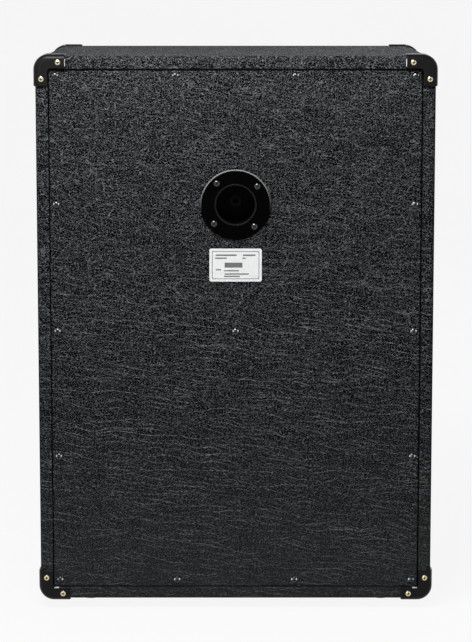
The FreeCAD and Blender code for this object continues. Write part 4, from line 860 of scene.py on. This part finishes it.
class CABINET_OT_label(Operator):
    """Lay the blank ruled plate under the jack dish."""

    bl_idname = "cabinet.label"
    bl_label = "Lay the Label"

    def execute(self, context):
        settings = context.scene.cabinet.label
        low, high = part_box("label")
        centre = np.array([(low.x + high.x) / 2, 0.0, (low.z + high.z) / 2])
        half_x, half_z = (high.x - low.x) / 2, (high.z - low.z) / 2
        edge = (high.y - low.y) * BEVEL
        start = edge * BEVEL_START

        def loop(inset):
            """The plate's outline, set in from its edge."""
            radius = max(settings.radius - inset, LEAST_RADIUS)
            return rounded_loop(half_x - inset, half_z - inset, radius, PLATE_STEPS)

        levels = [low.y, high.y - edge, high.y - start, high.y]
        points = stacked_loops([loop(0.0), loop(0.0), loop(start), loop(edge)], levels) + centre
        film = printed_film("label_film", settings.film, roughness=0.42)
        plate = grid_mesh("label_plate", points, around=True, caps=True)
        add_fixed_piece(plate, film, "label_film", "label", smooth=False)
        self.rule(settings, centre, half_x, half_z, high.y)
        return {"FINISHED"}

    def rule(self, settings, centre, half_x, half_z, face):
        """The ruled border, a thin band between two loops, and plain bars by their shares."""
        ink = printed_film("label_ink", settings.ink, roughness=0.5)
        outer, inner = settings.border, settings.border + settings.rule
        radius = settings.radius * BORDER_CORNER
        loops = [
            rounded_loop(half_x - inset, half_z - inset, radius, BORDER_STEPS)
            for inset in (outer, outer, inner, inner)
        ]
        band = stacked_loops(loops, [face, face + INK_LIFT, face + INK_LIFT, face]) + centre
        border = grid_mesh("label_border", band, around=True, ring=True)
        add_fixed_piece(border, ink, "label_film", smooth=False)
        across, up, half_width, half_height = np.array(BAR_SHARES).T
        level = np.full(len(across), face)
        centres = np.stack([across * half_x, level, up * half_z], axis=-1) + centre
        lift = np.full(len(across), INK_LIFT)
        halves = np.stack([half_width * half_x, lift, half_height * half_z], axis=-1)
        add_fixed_piece(block_mesh("label_bars", centres, halves), ink, "label_film", smooth=False)


class CABINET_OT_grille(Operator):
    """Stretch the woven cloth over its frame and lay the piping round it."""

    bl_idname = "cabinet.grille"
    bl_label = "Stretch the Grille Cloth"

    def execute(self, context):
        settings = context.scene.cabinet.cloth
        low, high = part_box("grille_cloth")
        columns, rows = settings.steps + 1, round(settings.steps * CLOTH_RATIO) + 1
        u, v = np.meshgrid(np.linspace(0.0, 1.0, columns), np.linspace(0.0, 1.0, rows))
        # The face stands out by a bow, whole at the middle, that falls to nothing at all four edges.
        rise = settings.bow * (16.0 * u * (1.0 - u) * v * (1.0 - v)) ** 0.5
        x, z = low.x + u * (high.x - low.x), low.z + v * (high.z - low.z)
        mesh = grid_mesh("woven_grille_cloth", np.stack([x, low.y - rise, z], axis=-1))
        cloth = add_fixed_piece(mesh, woven(settings), "grille_cloth", "grille_cloth")
        skin = cloth.modifiers.new("thickness", "SOLIDIFY")
        skin.thickness = high.y - low.y
        skin.offset = -1.0
        dress(moulded("piping_bead", settings.piping, roughness=0.45, grain=0.0008), "grille_piping")
        return {"FINISHED"}


class CABINET_OT_fittings(Operator):
    """Finish the side handles and the feet."""

    bl_idname = "cabinet.fittings"
    bl_label = "Fit the Handles and Feet"

    def execute(self, context):
        plastic = context.scene.cabinet.plastic
        grain = plastic.grain
        handle = moulded(
            "handle_plastic", plastic.handle, roughness=0.4, grain=grain, depth=0.00005,
            Specular_IOR_Level=0.25,
        )
        dress(handle, "left_handle", "right_handle")
        dress(moulded("foot_rubber", plastic.rubber, roughness=0.7, grain=grain, depth=0.00006), "feet")
        return {"FINISHED"}


class CABINET_OT_woodwork(Operator):
    """Finish the boards, battens and baffle."""

    bl_idname = "cabinet.woodwork"
    bl_label = "Finish the Woodwork"

    def execute(self, context):
        inside = context.scene.cabinet.inside
        boards = ("top_board", "bottom_board", "left_side_board", "right_side_board", "back_panel")
        dress(grained_wood("plywood", inside.ply, ring=0.02, stained=inside.stain), *boards)
        dress(grained_wood("pine", inside.pine, ring=0.012), "rear_cross_rail", "grille_frame")
        painted = grained_wood("black_paint", inside.paint, ring=0.02)
        dress(painted, "baffle_board", "front_battens", "rear_battens")
        return {"FINISHED"}


class CABINET_OT_drivers(Operator):
    """Finish both drivers and make their surrounds, spiders and braided leads."""

    bl_idname = "cabinet.drivers"
    bl_label = "Finish the Drivers"

    def execute(self, context):
        settings = context.scene.cabinet
        inside = settings.inside
        finishes = {
            "basket": moulded("basket_enamel", inside.enamel, roughness=0.4, grain=0.0008),
            "magnet": fibrous("ferrite", inside.ferrite, scale=500.0, depth=0.00005, roughness=0.6),
            "cone": fibrous("cone_paper", inside.paper, scale=700.0, depth=0.0002),
            "voice_coil": plated("copper_coil", inside.copper, roughness=0.35),
            "front_plate": plated("plate_zinc", settings.metal.zinc, roughness=0.42),
        }
        finishes["dust_cap"] = finishes["cone"]
        finishes["back_plate"] = finishes["front_plate"]
        soft = {
            "surround": fibrous("doped_cloth", inside.paper, scale=1200.0, depth=0.0002, roughness=0.6),
            "spider": fibrous("varnished_cloth", inside.varnish, scale=1500.0, depth=0.0002, roughness=0.7),
            "leads": plated("copper_braid", inside.copper, roughness=0.45),
        }
        for side, turn in (("upper", 1.0), ("lower", -1.0)):
            for piece, finish in finishes.items():
                dress(finish, f"{side}_{piece}")
            self.soft_parts(settings.driver, side, turn, soft)
        dress(fibrous("cork_gasket", inside.cork, scale=600.0, depth=0.0002), "driver_gaskets")
        return {"FINISHED"}

    def soft_parts(self, sizes, side, turn, finishes):
        """Surround, spider and leads of one driver, still at the frame and moving with the cone inside."""
        low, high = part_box(f"{side}_cone")
        height = (low.z + high.z) / 2
        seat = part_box("driver_gaskets")[0].y
        cone = f"{side}_cone_assembly"
        folded = (sizes.spider_rim - sizes.spider_inner) / 2
        rings = (
            ("rolled_surround", "surround", self.roll(sizes), SURROUND_TURN, sizes.cutout / 2, sizes.roll),
            ("folded_spider", "spider", self.folds(sizes), SPIDER_TURN, sizes.spider_rim / 2, folded),
        )
        for name, part, profile, steps, still, reach in rings:
            points = turned_form(profile, height, seat, steps)
            mesh = grid_mesh(f"{side}_{name}", points, around=True, ring=True)
            piece = self.place(mesh, finishes[part], part, side)
            outside = (still, 0.0, height)
            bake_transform(piece, "cabinet", cone, start=outside, end=(still - reach, 0.0, height))
            # Still at one radius and with the cone a reach further in, the same all round
            radius = np.hypot(points[..., 0], points[..., 2] - height).ravel()
            way = np.clip((still - radius) / reach, 0.0, 1.0)
            blend = (way * way * (3.0 - 2.0 * way)).astype(np.float32)
            mesh.attributes["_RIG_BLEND"].data.foreach_set("value", blend)
        for name, rise in (("first", LEAD_RISE), ("second", -LEAD_RISE)):
            x, y = np.array(LEAD_OUT) * turn, seat + np.array(LEAD_BEHIND)
            controls = np.stack([x, y, np.full(len(x), height + rise)], axis=-1)
            tube = level_tube(controls, sizes.lead / 2, LEAD_STEPS, LEAD_SIDES)
            wire = grid_mesh(f"{side}_{name}_lead", tube, around=True, caps=True)
            lead = self.place(wire, finishes["leads"], "leads", side)
            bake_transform(lead, "cabinet", cone, start=controls[0], end=controls[3])

    def roll(self, sizes):
        """The surround's section: flat rim, an arc towards the front over the roll's width, and a flat lip.

        On the arc the radius is the roll's middle plus the arc's radius times the sine of the turn, and the
        level is the arc's centre less the radius times the cosine. The back follows with a radius smaller by
        the sheet.
        """
        half = sizes.roll / 2
        arc = half * ROLL_ARC
        centre = sizes.cutout / 2 - half
        level = sizes.gasket + math.sqrt(arc * arc - half * half)
        outer, inner = sizes.cutout / 2 + sizes.rim, sizes.cutout / 2 - sizes.roll - sizes.lip

        def line(radius, flat):
            """One face of the section, from its outer to its inner edge."""
            reach = math.acos((level - flat) / radius)
            turn = np.linspace(reach, -reach, ROLL_STEPS)
            bend = np.stack([centre + radius * np.sin(turn), level - radius * np.cos(turn)], axis=-1)
            return np.concatenate([[(outer, flat)], bend, [(inner, flat)]])

        front = line(arc, sizes.gasket)
        back = line(arc - sizes.sheet, sizes.gasket + sizes.sheet)
        return np.concatenate([front, back[::-1]])

    def folds(self, sizes):
        """The spider's section: a flat rim, a cosine wave towards the front, and the same a sheet behind."""
        steps = WAVE_STEPS * sizes.spider_waves + 1
        radius = np.linspace(sizes.spider_rim / 2, sizes.spider_inner / 2, steps)
        way = np.linspace(0.0, 2.0 * math.pi * sizes.spider_waves, steps)
        level = sizes.spider_level - sizes.spider_wave / 2 * (1.0 - np.cos(way))
        front = np.stack([radius, level], axis=-1)
        front = np.concatenate([[(sizes.spider_outer / 2, sizes.spider_level)], front])
        return np.concatenate([front, (front + (0.0, sizes.sheet))[::-1]])

    def place(self, mesh, finish, part, side):
        """Put a soft mesh into the scene with its finish, in place of its CAD node."""
        piece = add_mesh(mesh, finish)
        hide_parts(f"{side}_{part}")
        return piece


class CABINET_OT_wiring(Operator):
    """Hang the two cables inside from the jack to the drivers and finish their clip."""

    bl_idname = "cabinet.wiring"
    bl_label = "Hang the Wiring"

    def execute(self, context):
        settings = context.scene.cabinet
        plastic, jack = settings.plastic, settings.jack
        sheath = moulded("cable_sheath", plastic.rubber, roughness=0.5, grain=plastic.grain)
        lengths = (jack.upper_cable, jack.lower_cable)
        for name, route, long in zip(("upper_cable", "lower_cable"), CABLE_ROUTES, lengths):
            curve = bpy.data.curves.new(name, "CURVE")
            curve.dimensions = "3D"
            curve.bevel_depth = jack.cable / 2
            curve.bevel_resolution = 4
            curve.resolution_u = 12
            curve.use_fill_caps = True
            line = curve.splines.new("NURBS")
            line.points.add(len(route) - 1)
            points = np.concatenate([np.array(route), np.ones((len(route), 1))], axis=1)
            line.points.foreach_set("co", points.ravel())
            line.order_u = 3
            line.use_endpoint_u = True
            curve.materials.append(sheath)
            cable = add_object(name, curve)
            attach(cable, "cabinet")
            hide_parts("speaker_cables")
        dress(moulded("nylon_clip", plastic.clip, roughness=0.5, grain=plastic.grain), "cable_clip")
        return {"FINISHED"}


class CABINET_OT_stage(Operator):
    """Set the camera, the pale floor and the lamps."""

    bl_idname = "cabinet.stage"
    bl_label = "Set the Stage"

    def execute(self, context):
        scene = context.scene
        settings = scene.cabinet.stage
        scene.view_settings.view_transform = "Standard"
        self.camera(scene, settings)
        self.floor(settings)
        self.world(scene, settings)
        for name, place, target, size, setting in LAMPS:
            self.lamp(name, place, target, size, getattr(settings, setting))
        return {"FINISHED"}

    def camera(self, scene, settings):
        """The camera behind the rear panel, tilted down."""
        data = bpy.data.cameras.new("camera")
        data.sensor_width = FILM
        data.lens = settings.lens
        data.shift_y = settings.rise
        camera = add_object("camera", data)
        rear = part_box("cabinet_vinyl")[1].y
        camera.location = (CAMERA_ACROSS, rear + settings.distance, settings.height)
        camera.rotation_euler = (math.pi / 2 - settings.pitch, 0.0, math.pi)
        scene.camera = camera

    def floor(self, settings):
        """A level floor that turns up into a backdrop: height grows with the square of the way out."""
        made = Finish("pale_floor", Roughness=0.9, Specular_IOR_Level=0.1)
        tone = made.mix(made.noise(made.where, 3.0), lighter(settings.floor, 0.985), settings.floor)
        made.put(made.shader, "Base Color", tone)
        shown = made.node("Emission", {"Color": tone, "Strength": FLOOR_GLOW}).outputs[0]
        path = made.node("LightPath").outputs
        seen = made.math("MAXIMUM", path["Is Camera Ray"], path["Is Glossy Ray"])
        seen = made.math("MAXIMUM", seen, path["Is Transmission Ray"])
        both = {0: made.times(seen, GLOW_SHARE), 1: made.shader.outputs[0], 2: shown}
        surface = made.node("MixShader", both).outputs[0]
        made.put(made.tree.nodes["Material Output"], "Surface", surface)
        way = np.linspace(0.0, FLOOR_REACH, FLOOR_STEPS)
        angles = np.linspace(0.0, 2 * math.pi, FLOOR_TURN, endpoint=False)
        out, turn = np.meshgrid(way, angles, indexing="ij")
        rise = np.clip(out - FLOOR_LEVEL, 0.0, None) ** 2 * FLOOR_CURL
        points = np.stack([out * np.cos(turn), out * np.sin(turn), rise - FLOOR_DROP], axis=-1)
        add_mesh(grid_mesh("floor", points, around=True), made.material)

    def world(self, scene, settings):
        """Even light from all round."""
        world = bpy.data.worlds.new("studio")
        world.use_nodes = True
        ground = world.node_tree.nodes["Background"]
        ground.inputs["Color"].default_value = (*settings.floor, 1.0)
        ground.inputs["Strength"].default_value = settings.sky
        scene.world = world

    def lamp(self, name, place, target, size, power):
        """One broad lamp, turned to a point."""
        data = bpy.data.lights.new(name, "AREA")
        data.shape = "RECTANGLE"
        data.size, data.size_y = size
        data.energy = power
        lamp = add_object(name, data)
        lamp.location = place
        lamp.rotation_euler = (Vector(target) - Vector(place)).to_track_quat("-Z", "Y").to_euler()


class VIEW3D_PT_cabinet(Panel):
    """The sidebar panel that lists the steps."""

    bl_label = "Speaker Cabinet"
    bl_space_type = "VIEW_3D"
    bl_region_type = "UI"
    bl_category = "Cabinet"

    def draw(self, context):
        for step in STEPS:
            self.layout.operator(step.bl_idname)


SETTINGS = (
    CoveringSettings, PlasticSettings, MetalSettings, JackSettings, DriverSettings, ClothSettings,
    LabelSettings, InsideSettings, StageSettings, CabinetSettings,
)
STEPS = (
    CABINET_OT_stage, CABINET_OT_cover, CABINET_OT_corners, CABINET_OT_screws, CABINET_OT_jack,
    CABINET_OT_label, CABINET_OT_grille, CABINET_OT_fittings, CABINET_OT_woodwork, CABINET_OT_drivers,
    CABINET_OT_wiring,
)
CLASSES = SETTINGS + STEPS + (VIEW3D_PT_cabinet,)


def register():
    """Register the classes and hang the settings on the scene."""
    for item in CLASSES:
        bpy.utils.register_class(item)
    bpy.types.Scene.cabinet = PointerProperty(type=CabinetSettings)


def unregister():
    """Take the settings and the classes away again."""
    del bpy.types.Scene.cabinet
    for item in reversed(CLASSES):
        bpy.utils.unregister_class(item)


def main():
    """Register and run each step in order."""
    register()
    for step in STEPS:
        group, name = step.bl_idname.split(".")
        getattr(getattr(bpy.ops, group), name)()


if __name__ == "__main__":
    main()
